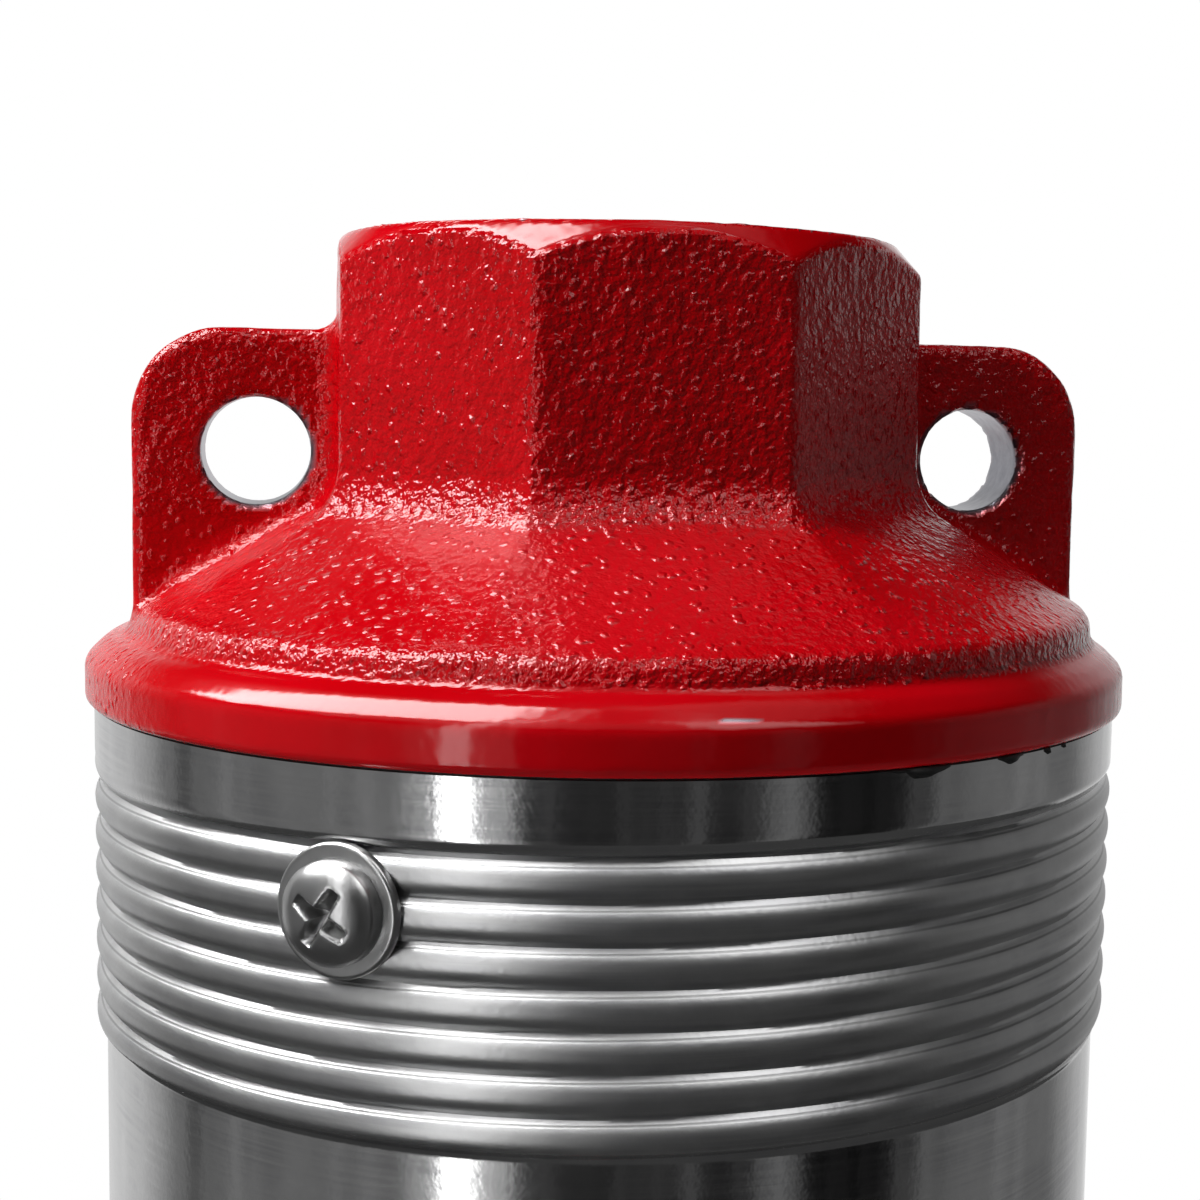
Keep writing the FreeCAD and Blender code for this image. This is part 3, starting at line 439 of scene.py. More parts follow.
def surface_of(field, xs, ys, zs):
    """Quads over the zero surface of a field, with each corner moved onto that surface."""
    grid = np.meshgrid(xs, ys, zs, indexing="ij")
    values = field(*grid)
    inside = values < 0
    shape = tuple(size - 1 for size in inside.shape)
    total = np.zeros(shape + (3,))
    hits = np.zeros(shape)
    axes = (xs, ys, zs)
    for direction in range(3):
        others = [n for n in range(3) if n != direction]
        low = [slice(None)] * 3
        high = [slice(None)] * 3
        low[direction] = slice(0, -1)
        high[direction] = slice(1, None)
        a, b = values[tuple(low)], values[tuple(high)]
        cross = inside[tuple(low)] != inside[tuple(high)]
        share = np.where(cross, a / np.where(cross, a - b, 1.0), 0.0)
        point = [grid[n][tuple(low)] for n in range(3)]
        span = np.diff(axes[direction]).reshape([-1 if n == direction else 1 for n in range(3)])
        point[direction] = point[direction] + share * span
        for i in (0, 1):
            for j in (0, 1):
                pick = [slice(None)] * 3
                pick[others[0]] = slice(i, shape[others[0]] + i)
                pick[others[1]] = slice(j, shape[others[1]] + j)
                pick = tuple(pick)
                hits += cross[pick]
                for n in range(3):
                    total[..., n] += np.where(cross[pick], point[n][pick], 0.0)
    active = hits > 0
    number = np.full(shape, -1)
    number[active] = np.arange(np.count_nonzero(active))
    points = total[active] / hits[active][:, None]
    faces = []
    for direction in range(3):
        u, v = [n for n in range(3) if n != direction]
        low = [slice(1, -1)] * 3
        high = [slice(1, -1)] * 3
        low[direction] = slice(0, -1)
        high[direction] = slice(1, None)
        a, b = inside[tuple(low)], inside[tuple(high)]
        where = np.argwhere(a != b)
        outward = a[a != b]
        where[:, u] += 1
        where[:, v] += 1
        corners = []
        for du, dv in ((-1, -1), (0, -1), (0, 0), (-1, 0)):
            cell = where.copy()
            cell[:, u] += du
            cell[:, v] += dv
            corners.append(number[cell[:, 0], cell[:, 1], cell[:, 2]])
        quads = np.stack(corners, axis=1)
        if direction == 1:
            outward = ~outward
        quads[~outward] = quads[~outward][:, ::-1]
        faces.append(quads)
    return settle(field, points), np.concatenate(faces)


def gradient(field, points, reach=0.02):
    """Slope of a field at points."""
    slopes = []
    for axis in range(3):
        step = np.zeros(3)
        step[axis] = reach
        slopes.append((field(*(points + step).T) - field(*(points - step).T)) / (2 * reach))
    return np.stack(slopes, axis=1)


def settle(field, points):
    """Move points onto the zero surface of a field."""
    for _ in range(SETTLE_ROUNDS):
        slope = gradient(field, points)
        size = np.maximum((slope ** 2).sum(axis=1), LEAST_SLOPE)
        move = slope * (field(*points.T) / size)[:, None]
        points = points - np.clip(move, -SETTLE_LIMIT, SETTLE_LIMIT)
    return points


def lumps(points, size, seed):
    """Smooth random heights from -1 to 1, with features of a size."""
    lattice = np.random.default_rng(seed).uniform(-1, 1, (LATTICE, LATTICE, LATTICE))
    place = points / size + LATTICE_OFFSET
    cell = np.floor(place).astype(int)
    part = place - cell
    part = part * part * (3 - 2 * part)
    value = 0
    for corner in range(8):
        offset = np.array([corner & 1, corner >> 1 & 1, corner >> 2 & 1])
        weight = np.prod(np.where(offset, part, 1 - part), axis=1)
        index = (cell + offset) % LATTICE
        value = value + weight * lattice[index[:, 0], index[:, 1], index[:, 2]]
    return value


def ramp(value, low, high):
    """Smooth step from 0 at low to 1 at high."""
    part = np.clip((value - low) / (high - low), 0, 1)
    return part * part * (3 - 2 * part)


# Meshes

def make_piece(name, points, faces, lift=0.0, smooth=True):
    """An object at the origin from points in millimetres."""
    points = np.array(points, dtype=float)
    points[:, 2] += lift
    mesh = bpy.data.meshes.new(name)
    mesh.from_pydata((points * MM).tolist(), [], faces if isinstance(faces, list) else faces.tolist())
    mesh.validate()
    mesh.polygons.foreach_set("use_smooth", [smooth] * len(mesh.polygons))
    mesh.update()
    piece = bpy.data.objects.new(name, mesh)
    bpy.context.scene.collection.objects.link(piece)
    return piece


def add_mask(piece, name, values):
    """A number on each point of a piece, for its material."""
    mask = piece.data.attributes.new(name, "FLOAT", "POINT")
    mask.data.foreach_set("value", np.asarray(values, dtype=np.float32))


def ring_grid(radii, heights, columns, turned=False):
    """A closed ring from rows of radii and heights; each row is a number or one value a column."""
    angles = np.arange(columns) * 2 * math.pi / columns
    rows = len(radii)
    points = np.zeros((rows, columns, 3))
    for row in range(rows):
        points[row, :, 0] = radii[row] * np.cos(angles)
        points[row, :, 1] = radii[row] * np.sin(angles)
        points[row, :, 2] = heights[row]
    a = np.arange(rows * columns).reshape(rows, columns)
    b = np.roll(a, -1, axis=1)
    c = np.roll(b, -1, axis=0)
    d = np.roll(a, -1, axis=0)
    faces = np.stack([a, b, c, d], axis=-1).reshape(-1, 4)
    if turned:
        faces = faces[:, ::-1]
    return points.reshape(-1, 3), faces


def face_outwards(piece):
    """Turn every face of a closed mesh outwards."""
    mesh = bmesh.new()
    mesh.from_mesh(piece.data)
    bmesh.ops.recalc_face_normals(mesh, faces=mesh.faces)
    mesh.to_mesh(piece.data)
    mesh.free()


def smooth_by_angle(piece, degrees):
    """Smooth shading, with edges sharper than an angle kept crisp."""
    piece.data.polygons.foreach_set("use_smooth", [True] * len(piece.data.polygons))
    piece.data.set_sharp_from_angle(angle=math.radians(degrees))


def finish_piece(piece, finish, slot, *nodes):
    """Give a piece its material and its body, and hide the CAD nodes that it stands for."""
    piece.data.materials.clear()
    piece.data.materials.append(finish)
    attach(piece, "root")
    if nodes:
        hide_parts(*nodes)
    return piece


# Node trees

class Value:
    """A node socket that takes plain arithmetic."""

    def __init__(self, tree, socket):
        self.tree = tree
        self.socket = socket

    def __add__(self, other):
        return self.tree.maths("ADD", self, other)

    def __sub__(self, other):
        return self.tree.maths("SUBTRACT", self, other)

    def __rsub__(self, other):
        return self.tree.maths("SUBTRACT", other, self)

    def __mul__(self, other):
        return self.tree.maths("MULTIPLY", self, other)

    def __truediv__(self, other):
        return self.tree.maths("DIVIDE", self, other)

    def __rtruediv__(self, other):
        return self.tree.maths("DIVIDE", other, self)

    __radd__ = __add__
    __rmul__ = __mul__

    def ramp(self, low, high, start=0.0, end=1.0):
        """Smooth step from one value at low to another at high."""
        return self.tree.smooth(self, low, high, start, end)

    def between(self, rise, fall):
        """One between a pair of values where it rises and a pair where it falls."""
        return self.ramp(*rise) * (1 - self.ramp(*fall))


class Tree:
    """A node tree that is built by calls."""

    def __init__(self, tree):
        self.tree = tree

    def node(self, kind, settings=None, inputs=None, output=0):
        """Add a node, set it, feed its sockets and return one of its outputs."""
        made = self.tree.nodes.new(kind)
        for key, value in (settings or {}).items():
            setattr(made, key, value)
        for key, value in (inputs or {}).items():
            self.feed(made.inputs[key], value)
        return Value(self, made.outputs[output])

    def feed(self, socket, value):
        """Link a value or set a plain one, a colour with full alpha."""
        if isinstance(value, Value):
            self.tree.links.new(value.socket, socket)
        elif socket.type == "RGBA":
            socket.default_value = (*value, 1.0)
        else:
            socket.default_value = value

    def maths(self, operation, *values):
        """One Math node."""
        return self.node("ShaderNodeMath", {"operation": operation}, dict(enumerate(values)))

    def smooth(self, value, low, high, start=0.0, end=1.0):
        """Smooth step from one value at low to another at high."""
        return self.node(
            "ShaderNodeMapRange",
            {"interpolation_type": "SMOOTHSTEP"},
            {"Value": value, "From Min": low, "From Max": high, "To Min": start, "To Max": end},
        )


class Finish(Tree):
    """The nodes of a material or a world."""

    def __init__(self, owner):
        self.material = bpy.data.materials.new(owner) if isinstance(owner, str) else owner
        self.material.use_nodes = True
        super().__init__(self.material.node_tree)
        self.shader = self.tree.nodes.get("Principled BSDF")

    def place(self):
        """Object coordinates."""
        return self.node("ShaderNodeTexCoord", output="Object")

    def noise(self, size, detail=2.0, roughness=0.5, at=None, stretch=None, output=0):
        """Noise from 0 to 1 with features of a size in millimetres."""
        at = at or self.place()
        if stretch:
            at = self.node("ShaderNodeMapping", {}, {"Vector": at, "Scale": stretch})
        return self.node(
            "ShaderNodeTexNoise",
            {},
            {"Vector": at, "Scale": 1 / MM / size, "Detail": detail, "Roughness": roughness},
            output,
        )

    def mask(self, name):
        """A number that the mesh carries."""
        return self.node("ShaderNodeAttribute", {"attribute_name": name}, output="Fac")

    def colours(self, factor, first, second):
        """Mix two colours."""
        return self.node(
            "ShaderNodeMix", {"data_type": "RGBA"}, {"Factor": factor, 6: first, 7: second}, output=2
        )

    def bump(self, height, distance=1.0):
        """Raise the surface by a height times a distance in millimetres."""
        normal = self.node(
            "ShaderNodeBump", {}, {"Height": height, "Distance": distance * MM, "Strength": 1.0}
        )
        self.feed(self.shader.inputs["Normal"], normal)

    def surface(self, **values):
        """Set or link the shader's sockets by name."""
        for name, value in values.items():
            self.feed(self.shader.inputs[name.replace("_", " ")], value)
        return self.material


class Shaper(Tree):
    """A geometry node tree with named inputs, used once and turned into a plain mesh."""

    def __init__(self, name):
        super().__init__(bpy.data.node_groups.new(name, "GeometryNodeTree"))
        self.tree.interface.new_socket("Geometry", in_out="OUTPUT", socket_type="NodeSocketGeometry")
        self.values = {}
        self.entry = self.tree.nodes.new("NodeGroupInput")

    def size(self, name, value, kind="Float"):
        """A named input with the value it gets on this piece."""
        socket = self.tree.interface.new_socket(name, in_out="INPUT", socket_type=f"NodeSocket{kind}")
        self.values[socket.identifier] = value
        return Value(self, self.entry.outputs[name])

    def finish(self, name, geometry, material):
        """Run the tree and return its result as an object at the origin."""
        whole = self.node("GeometryNodeRealizeInstances", {}, {0: geometry})
        clothed = self.node("GeometryNodeSetMaterial", {}, {"Geometry": whole, "Material": material})
        exit_node = self.tree.nodes.new("NodeGroupOutput")
        self.feed(exit_node.inputs[0], clothed)
        carrier = bpy.data.objects.new(name, bpy.data.meshes.new(name))
        bpy.context.scene.collection.objects.link(carrier)
        modifier = carrier.modifiers.new("shape", "NODES")
        modifier.node_group = self.tree
        for identifier, value in self.values.items():
            modifier[identifier] = value
        evaluated = carrier.evaluated_get(bpy.context.evaluated_depsgraph_get())
        mesh = bpy.data.meshes.new_from_object(evaluated)
        carrier.modifiers.remove(modifier)
        carrier.data = mesh
        mesh.name = name
        return carrier


# Materials

def enamel_beads(sheet):
    """Small round beads that the thick enamel leaves on the rough casting, scattered unevenly."""
    place = sheet.place()
    drift = sheet.noise(DRIFT_SIZE, 1.0, at=place, output="Color")
    crooked = sheet.node(
        "ShaderNodeVectorMath",
        {"operation": "MULTIPLY_ADD"},
        {0: drift, 1: [BEAD_DRIFT * MM] * 3, 2: place},
    )
    nearest = sheet.node("ShaderNodeTexVoronoi", {}, {"Vector": crooked, "Scale": 1 / MM / BEAD_SIZE})
    return 1 - nearest.ramp(0.0, BEAD_EDGE)


def enamel():
    """Glossy red enamel over rough cast iron, with bare metal where it was machined later."""
    sheet = Finish("red_enamel")
    rough = 1 - sheet.mask("turned")
    bare = sheet.mask("bare")
    peel = sheet.noise(PEEL_SIZE, 2.0, 0.55)
    swell = sheet.noise(SWELL_SIZE, 1.0)
    ripple = sheet.noise(RIPPLE_SIZE, 1.0)
    tone = sheet.noise(TONE_SIZE, 2.0)
    grained = rough.ramp(0.0, 0.4)
    raw = rough.ramp(0.4, 0.8)
    grain = rough * (peel * PEEL_HEIGHT + swell * SWELL_HEIGHT)
    sheet.bump(grain + grained * enamel_beads(sheet) * BEAD_HEIGHT + ripple * RIPPLE_HEIGHT)
    red = sheet.colours(tone.ramp(0.35, 0.65), DEEP_RED, BRIGHT_RED)
    steel = sheet.colours(peel, DEEP_DRILLED, BRIGHT_DRILLED)
    return sheet.surface(
        Base_Color=sheet.colours(bare, red, steel),
        Roughness=bare * 0.2 + grained * 0.05 - raw * 0.07 + ENAMEL_ROUGHNESS,
        Metallic=bare,
        IOR=ENAMEL_IOR,
    )


def steel_tube():
    """Drawn stainless tube, stained and marked round its girth, with the rolled thread's crease bumped in
    and darkened towards grey as painted shade.
    """
    sheet = Finish("rolled_stainless")
    place = sheet.place()
    x, y, z = (sheet.node("ShaderNodeSeparateXYZ", {}, {0: place}, output=axis) for axis in "XYZ")
    marks = sheet.noise(MARK_SIZE, 3.0, 0.6, place, MARK_STRETCH)
    stains = sheet.noise(STAIN_SIZE, 4.0, 0.65)
    specks = sheet.noise(SPECK_SIZE, 1.0)
    angle = sheet.maths("ARCTAN2", y, x)
    turn = sheet.maths("WRAP", angle + (math.pi / 2 + PART_TURN), math.pi, -math.pi) / (2 * math.pi)
    crease = 0
    threaded = 0
    for end, way in ((tube_high[2], 1), (tube_low[2], -1)):
        depth = (z * (1 / MM) - end) * -way
        along = (depth - THREAD_FIRST) / THREAD_PITCH
        phase = along + turn * way - CREASE_PLACE
        off = sheet.maths("ABSOLUTE", phase - sheet.maths("ROUND", phase))
        held = along.between(CREASE_START, CREASE_END)
        threaded = threaded + held
        crease = crease + held * (1 - off.ramp(*CREASE_WIDTH))
    speck_height = threaded * SPECK_HEIGHT_ON_THREAD + SPECK_HEIGHT
    relief = marks * MARK_HEIGHT + stains * STAIN_HEIGHT + specks * speck_height
    sheet.bump(relief - crease * CREASE_DEPTH)
    tone = sheet.colours(stains.ramp(0.3, 0.7), DEEP_TUBE, BRIGHT_TUBE)
    worn = sheet.colours(marks.ramp(0.35, 0.7), tone, WORN_TUBE)
    # The crease is darkened half way to dark grey, which is painted shade in the crease
    return sheet.surface(
        Base_Color=sheet.colours(crease * 0.5, worn, CREASE_PAINTED_SHADE),
        Roughness=marks * 0.08 + stains * 0.10 + threaded * 0.24 + 0.04,
        Metallic=1.0,
    )


def plain_steel(name, tone, gloss):
    """Stainless pressings and machined steel."""
    sheet = Finish(name)
    cloud = sheet.noise(CLOUD_SIZE, 3.0, 0.6)
    fine = sheet.noise(FINE_SIZE, 2.0, 0.6, None, FINE_STRETCH)
    sheet.bump(fine, FINE_HEIGHT)
    dark = [part * 0.82 for part in tone]
    return sheet.surface(
        Base_Color=sheet.colours(cloud.ramp(0.3, 0.7), dark, tone),
        Roughness=fine * 0.15 + gloss,
        Metallic=1.0,
    )


def black_rubber(name, shade):
    """Sealant, seals and moulded rubber."""
    sheet = Finish(name)
    grain = sheet.noise(RUBBER_GRAIN_SIZE, 3.0, 0.6)
    sheet.bump(grain, RUBBER_GRAIN_HEIGHT)
    return sheet.surface(
        Base_Color=sheet.colours(grain, [shade * 0.6] * 3, [shade] * 3),
        Roughness=grain * 0.2 + 0.45,
    )


FINISHES = {
    "red_enamel": enamel(),
    "stainless": plain_steel("pressed_stainless", PRESSED_STEEL, 0.22),
    "zinc_screw": plain_steel("bright_screw", SCREW_STEEL, 0.24),
    "sealant": black_rubber("sealant_black", 0.015),
    "rubber": black_rubber("seal_rubber", 0.03),
    "brass": plain_steel("valve_brass", BRASS, 0.24),
    "bearing_rubber": black_rubber("bearing_rubber_black", 0.035),
    "outlet": plain_steel("cut_cast_iron", CUT_IRON, 0.34),
}
TUBE_STEEL = steel_tube()

for subpart in frame["record"]["subparts"]:
    shown = frame["nodes"][subpart["node"]]
    shown.data.materials.clear()
    shown.data.materials.append(FINISHES[subpart["material_slot"]])


# Discharge head

def in_ear_holes(points):
    """One on the walls of the two drilled holes, zero elsewhere."""
    x, y = as_cast(*points.T)
    return ramp(-ear_hole_field(x, points[:, 2]), *EAR_HOLE_FADE) * (np.abs(y) < EAR_HALF + EAR_ROUNDING)


def turned_share(points):
    """How smooth the head is at each point, from 0 as cast to 1 where it was turned or bored."""
    x, y = as_cast(*points.T)
    z = points[:, 2]
    r = np.hypot(x, y)
    on_chamfer = ramp(chamfer_field(r, z), *CHAMFER_FADE) * (z > EAR_TOP)
    on_flange = 1 - ramp(z + (r < FOOT_RADIUS) * FOOT_RAISED, *FLANGE_FADE)
    on_flange = on_flange * (1 - FLANGE_END_ROUGHNESS * ramp(np.abs(x), *FLANGE_ENDS))
    in_bore = ramp(-head_field(*points.T), *BORE_FADE)
    on_slope = ramp(z, *SLOPE_LOW_FADE) * (1 - ramp(z, *SLOPE_HIGH_FADE))
    on_slope = on_slope * (r < FOOT_RADIUS) * SLOPE_SMOOTHNESS
    return np.clip(in_ear_holes(points) + on_chamfer + on_flange + in_bore + on_slope, 0, 1)


def chipped_share(points):
    """One where a chip shows bare metal."""
    chipped = np.zeros(len(points))
    for bearing, level, reach, size in CHIPS:
        bearing = math.radians(bearing)
        spot = np.array([reach * math.cos(bearing), reach * math.sin(bearing), level])
        far = np.linalg.norm((points - spot) / np.array(size), axis=1)
        chipped = np.maximum(chipped, 1 - ramp(far, *CHIP_FADE))
    return chipped


def make_head():
    """Cast head above the joint, rough as cast except where it was turned."""
    outer = steps((-GRID_REACH, GRID_ACROSS), (GRID_REACH, 0))
    heights = steps(*GRID_UPWARD, (head_height + GRID_OVER, 0))
    points, faces = surface_of(head_with_bore, outer, outer, heights)
    slope = gradient(head_field, points)
    normal = slope / np.maximum(np.linalg.norm(slope, axis=1), 1e-6)[:, None]
    turned = turned_share(points)
    drilled = in_ear_holes(points)
    swell = sum(lumps(points, size, seed) * height for seed, (size, height) in enumerate(CAST_LUMPS, 1))
    points = points + normal * (swell * (1 - turned))[:, None]
    head = make_piece("discharge_head_casting", points, faces, joint)
    add_mask(head, "turned", turned)
    add_mask(head, "bare", np.maximum(drilled, chipped_share(points)))
    return finish_piece(head, FINISHES["red_enamel"], "red_enamel", "discharge_head")


def make_skirt():
    """Threaded skirt of the head inside the tube, with the valve chamber."""
    skirt = head_low[2] - joint
    outer = inner_radius - SKIRT_PLAY
    radii = [SEAT_RADIUS, outer, outer, CHAMBER_RADIUS, CHAMBER_RADIUS, SEAT_RADIUS]
    heights = [skirt, skirt, 0.0, 0.0, skirt + SEAT_HEIGHT, skirt + SEAT_HEIGHT]
    points, faces = ring_grid(radii, heights, SKIRT_COLUMNS)
    piece = make_piece("discharge_head_skirt", points, faces, joint, smooth=False)
    add_mask(piece, "turned", np.ones(len(points)))
    return finish_piece(piece, FINISHES["red_enamel"], "red_enamel", "discharge_head")


# Casing tube

def thread_height(tree, angle, depth, hand):
    """Rise of the rolled thread over the plain tube, at an angle and a depth from the tube's end."""
    pitch = tree.pitch
    rise = tree.rise
    front = -math.pi / 2 - PART_TURN
    turn = tree.maths("WRAP", angle - front, math.pi, -math.pi)
    along = (depth - tree.first) / pitch
    phase = along + turn * (hand / (2 * math.pi))
    off = tree.maths("ABSOLUTE", phase - tree.maths("ROUND", phase)) * pitch
    bead = (pitch * pitch / 4 + rise * rise) / (2 * rise)
    valley = tree.maths("SQRT", off * off + VALLEY_ROUNDING ** 2)
    crest = pitch / 2 - valley
    height = tree.maths("SQRT", bead * bead - crest * crest) - (bead - rise)
    groove = (rise - height) * along.ramp(*THREAD_START)
    tail = 1 - (along - tree.turns).ramp(*THREAD_END)
    return (rise - groove) * tail


def make_tube():
    """Tube with a rolled right-hand round thread at each end, as one grid bent round the shaft line."""
    tree = Shaper("rolled_tube")
    tree.pitch = tree.size("Thread pitch", THREAD_PITCH)
    tree.rise = tree.size("Thread rise", THREAD_RISE)
    tree.turns = tree.size("Thread turns", float(THREAD_TURNS))
    tree.first = tree.size("First valley", THREAD_FIRST + RING_SQUEEZE)
    plain = tree.size("Plain radius", crest_radius - THREAD_RISE)
    inner = tree.size("Inner radius", inner_radius)
    low = tree.size("Lower end", tube_low[2] - RING_SQUEEZE)
    length = tree.size("Length", tube_high[2] - tube_low[2] + 2 * RING_SQUEEZE)
    fine = tree.size("Fine rows at each end", 150, "Int")
    coarse = tree.size("Coarse rows between", 8, "Int")
    columns = tree.size("Columns", 216, "Int")
    zone = THREAD_FIRST + RING_SQUEEZE + THREAD_PITCH * (THREAD_TURNS + 1)
    step = zone / fine
    outside = fine + fine + coarse
    grid = tree.node(
        "GeometryNodeMeshGrid",
        {},
        {"Size X": 1.0, "Size Y": 1.0, "Vertices X": outside + 4, "Vertices Y": columns + 1},
    )
    place = tree.node("GeometryNodeInputPosition")
    across = tree.node("ShaderNodeSeparateXYZ", {}, {0: place}, output="X")
    around = tree.node("ShaderNodeSeparateXYZ", {}, {0: place}, output="Y")
    row = tree.maths("ROUND", (across + 0.5) * (outside + 3)) - 1
    angle = (around + 0.5) * (2 * math.pi)
    lower_rows = tree.maths("MINIMUM", row, fine)
    middle_rows = tree.maths("MINIMUM", tree.maths("MAXIMUM", row - fine, 0.0), coarse)
    upper_rows = tree.maths("MAXIMUM", row - fine - coarse, 0.0)
    middle_step = (length - zone * 2) / coarse
    height = lower_rows * step + middle_rows * middle_step + upper_rows * step
    height = tree.maths("MAXIMUM", tree.maths("MINIMUM", height, length), 0.0)
    on_outside = tree.maths("COMPARE", row, outside / 2, outside / 2 + 0.5)
    height = height * (1 - tree.maths("GREATER_THAN", row, outside + 1.5))
    in_upper_half = tree.maths("GREATER_THAN", height, length / 2)
    rise = (
        thread_height(tree, angle, height, -1) * (1 - in_upper_half)
        + thread_height(tree, angle, length - height, 1) * in_upper_half
    )
    radius = inner + on_outside * (plain + rise - inner)
    spot = tree.node(
        "ShaderNodeCombineXYZ",
        {},
        {
            "X": radius * tree.maths("COSINE", angle) * MM,
            "Y": radius * tree.maths("SINE", angle) * MM,
            "Z": (height + low) * MM,
        },
    )
    bent = tree.node("GeometryNodeSetPosition", {}, {"Geometry": grid, "Position": spot})
    closed = tree.node("GeometryNodeMergeByDistance", {}, {"Geometry": bent, "Distance": TUBE_WELD * MM})
    tube = tree.finish("casing_tube_rolled", closed, TUBE_STEEL)
    face_outwards(tube)
    smooth_by_angle(tube, 50)
    return finish_piece(tube, TUBE_STEEL, "stainless", "casing_tube")


# Screws

def screw_surface(radius, dome, height, recess, columns=72):
    """A closed pan head with a washer flange and a cross recess, standing on z = 0."""
    lip = height * LIP_SHARE
    brim = radius * BRIM_SHARE
    foot = [dome * share for share in DOME_FOOT]
    bend = np.linspace(BRIM_START, math.pi / 2, BRIM_RINGS)
    rings = np.concatenate([
        np.linspace(0, dome * DOME_END, DOME_RINGS),
        foot[:2],
        np.linspace(foot[2], brim, BRIM_RINGS),
        radius * (BRIM_SHARE + (1 - BRIM_SHARE) * np.sin(bend)),
    ])
    angles = np.arange(columns) * 2 * math.pi / columns
    fall = (height - lip * 1.6) * (1 - np.sqrt(np.clip(1 - (rings / dome) ** 2 * DOME_CURVE, 0, 1)))
    tops = np.where(rings <= dome, height - fall, lip)
    tops[rings > brim] = lip * (0.55 + 0.45 * np.cos(bend))
    grid_r, grid_a = np.meshgrid(rings[1:], angles, indexing="ij")
    x, y = grid_r * np.cos(grid_a), grid_r * np.sin(grid_a)
    deepest = height * RECESS_SHARE
    wing = np.minimum(np.abs(x), np.abs(y)) - recess * RECESS_ARM * (1 - 0.35 * grid_r / recess)
    cross = np.maximum(wing, grid_r - recess)
    inner, outer = (share * recess for share in RECESS_EDGE)
    depth = deepest * (1 - 0.45 * grid_r / recess) * (1 - ramp(cross, inner, outer))
    z = np.repeat(tops[1:, None], columns, axis=1) - np.maximum(depth, 0)
    points = [(0, 0, tops[0] - deepest)]
    points += list(zip(x.ravel(), y.ravel(), z.ravel()))
    base = len(points)
    points += [(radius * math.cos(a), radius * math.sin(a), 0) for a in angles]
    points.append((0, 0, 0))
    faces = []
    for column in range(columns):
        after = (column + 1) % columns
        faces.append((0, 1 + column, 1 + after))
        for ring in range(len(rings) - 2):
            a = 1 + ring * columns
            b = a + columns
            faces.append((a + column, b + column, b + after, a + after))
        last = 1 + (len(rings) - 2) * columns
        faces.append((last + column, base + column, base + after, last + after))
        faces.append((base + column, len(points) - 1, base + after))
    return points, faces


def make_screws(group, count, screw, middle, reach, first, spin):
    """Copies of one screw round the shaft line, each pointing outwards."""
    tree = Shaper(f"{group}s")
    nodes = [f"{group}_{number}" for number in range(1, count + 1)]
    count = tree.size("Count", count, "Int")
    first_angle = tree.size("First angle", math.radians(first))
    out = tree.size("Reach", reach * MM)
    level = tree.size("Level", middle * MM)
    turned = tree.size("Spin", math.radians(spin))
    index = tree.node("GeometryNodeInputIndex")
    angle = first_angle + index * (2 * math.pi) / count
    spot = tree.node(
        "ShaderNodeCombineXYZ",
        {},
        {"X": out * tree.maths("COSINE", angle), "Y": out * tree.maths("SINE", angle), "Z": level},
    )
    points = tree.node("GeometryNodePoints", {}, {"Count": count, "Position": spot})
    shape = tree.node("GeometryNodeObjectInfo", {}, {"Object": screw}, output="Geometry")
    own = tree.node("ShaderNodeCombineXYZ", {}, {"Z": turned})
    outward = tree.node("ShaderNodeCombineXYZ", {}, {"Y": math.pi / 2, "Z": angle})
    facing = tree.node("FunctionNodeEulerToRotation", {}, {0: outward})
    spun = tree.node("FunctionNodeRotateRotation", {"rotation_space": "LOCAL"}, {0: facing, 1: own})
    placed = tree.node(
        "GeometryNodeInstanceOnPoints", {}, {"Points": points, "Instance": shape, "Rotation": spun}
    )
    screws = tree.finish(f"{group}s", placed, FINISHES["zinc_screw"])
    face_outwards(screws)
    smooth_by_angle(screws, 40)
    return finish_piece(screws, FINISHES["zinc_screw"], "zinc_screw", *nodes)


def make_all_screws():
    """Two lock screws at each end of the tube and four screws on the strainer."""
    lock = make_piece("lock_screw_form", *screw_surface(**LOCK_SCREW))
    for end, level in (("head", joint - LOCK_DROP), ("base", collar_top + LOCK_DROP)):
        make_screws(f"{end}_lock_screw", 2, lock, level, crest_radius, LOCK_ANGLE, LOCK_SPIN)
    small = make_piece("strainer_screw_form", *screw_surface(**STRAINER_SCREW))
    low, high = node_box("intake_strainer")
    middle = (low[2] + high[2]) / 2
    make_screws("strainer_screw", 4, small, middle, high[0], STRAINER_ANGLE, STRAINER_SPIN)
    for form in (lock, small):
        bpy.data.objects.remove(form)


# Seals and the outlet thread

def make_sealant():
    """Sealing ring under the head, squeezed out unevenly past the edge of the tube."""
    angles = np.arange(SEALANT_COLUMNS) * 2 * math.pi / SEALANT_COLUMNS
    edge = np.stack([np.cos(angles), np.sin(angles), np.zeros(len(angles))], axis=1) * crest_radius
    ooze = 0
    for bearing, width, amount in SEALANT_RUNS:
        off = (angles - math.radians(bearing) + PART_TURN + math.pi) % (2 * math.pi) - math.pi
        ooze = ooze + amount * np.exp(-(off / math.radians(width)) ** 2)
    ragged = sum((SEALANT_RAGGED * lumps(edge, size, seed) for size, seed in SEALANT_LUMPS), SEALANT_EVEN)
    squeeze = np.clip(ooze * ragged, 0, SEALANT_MOST)
    low = gasket_low[2] - joint + RING_SQUEEZE
    outer = crest_radius - SEALANT_INSET
    bulges = [outer + share * squeeze for share in SEALANT_BULGES]
    drops = [low - share * squeeze for share in SEALANT_DROPS]
    radii = [inner_radius, outer, *bulges, outer, inner_radius]
    heights = [low, *drops, -0.02, -0.01, 0.0]
    points, faces = ring_grid(radii, heights, SEALANT_COLUMNS)
    ring = make_piece("head_sealant", points, faces, joint)
    return finish_piece(ring, FINISHES["sealant"], "sealant", "head_gasket")


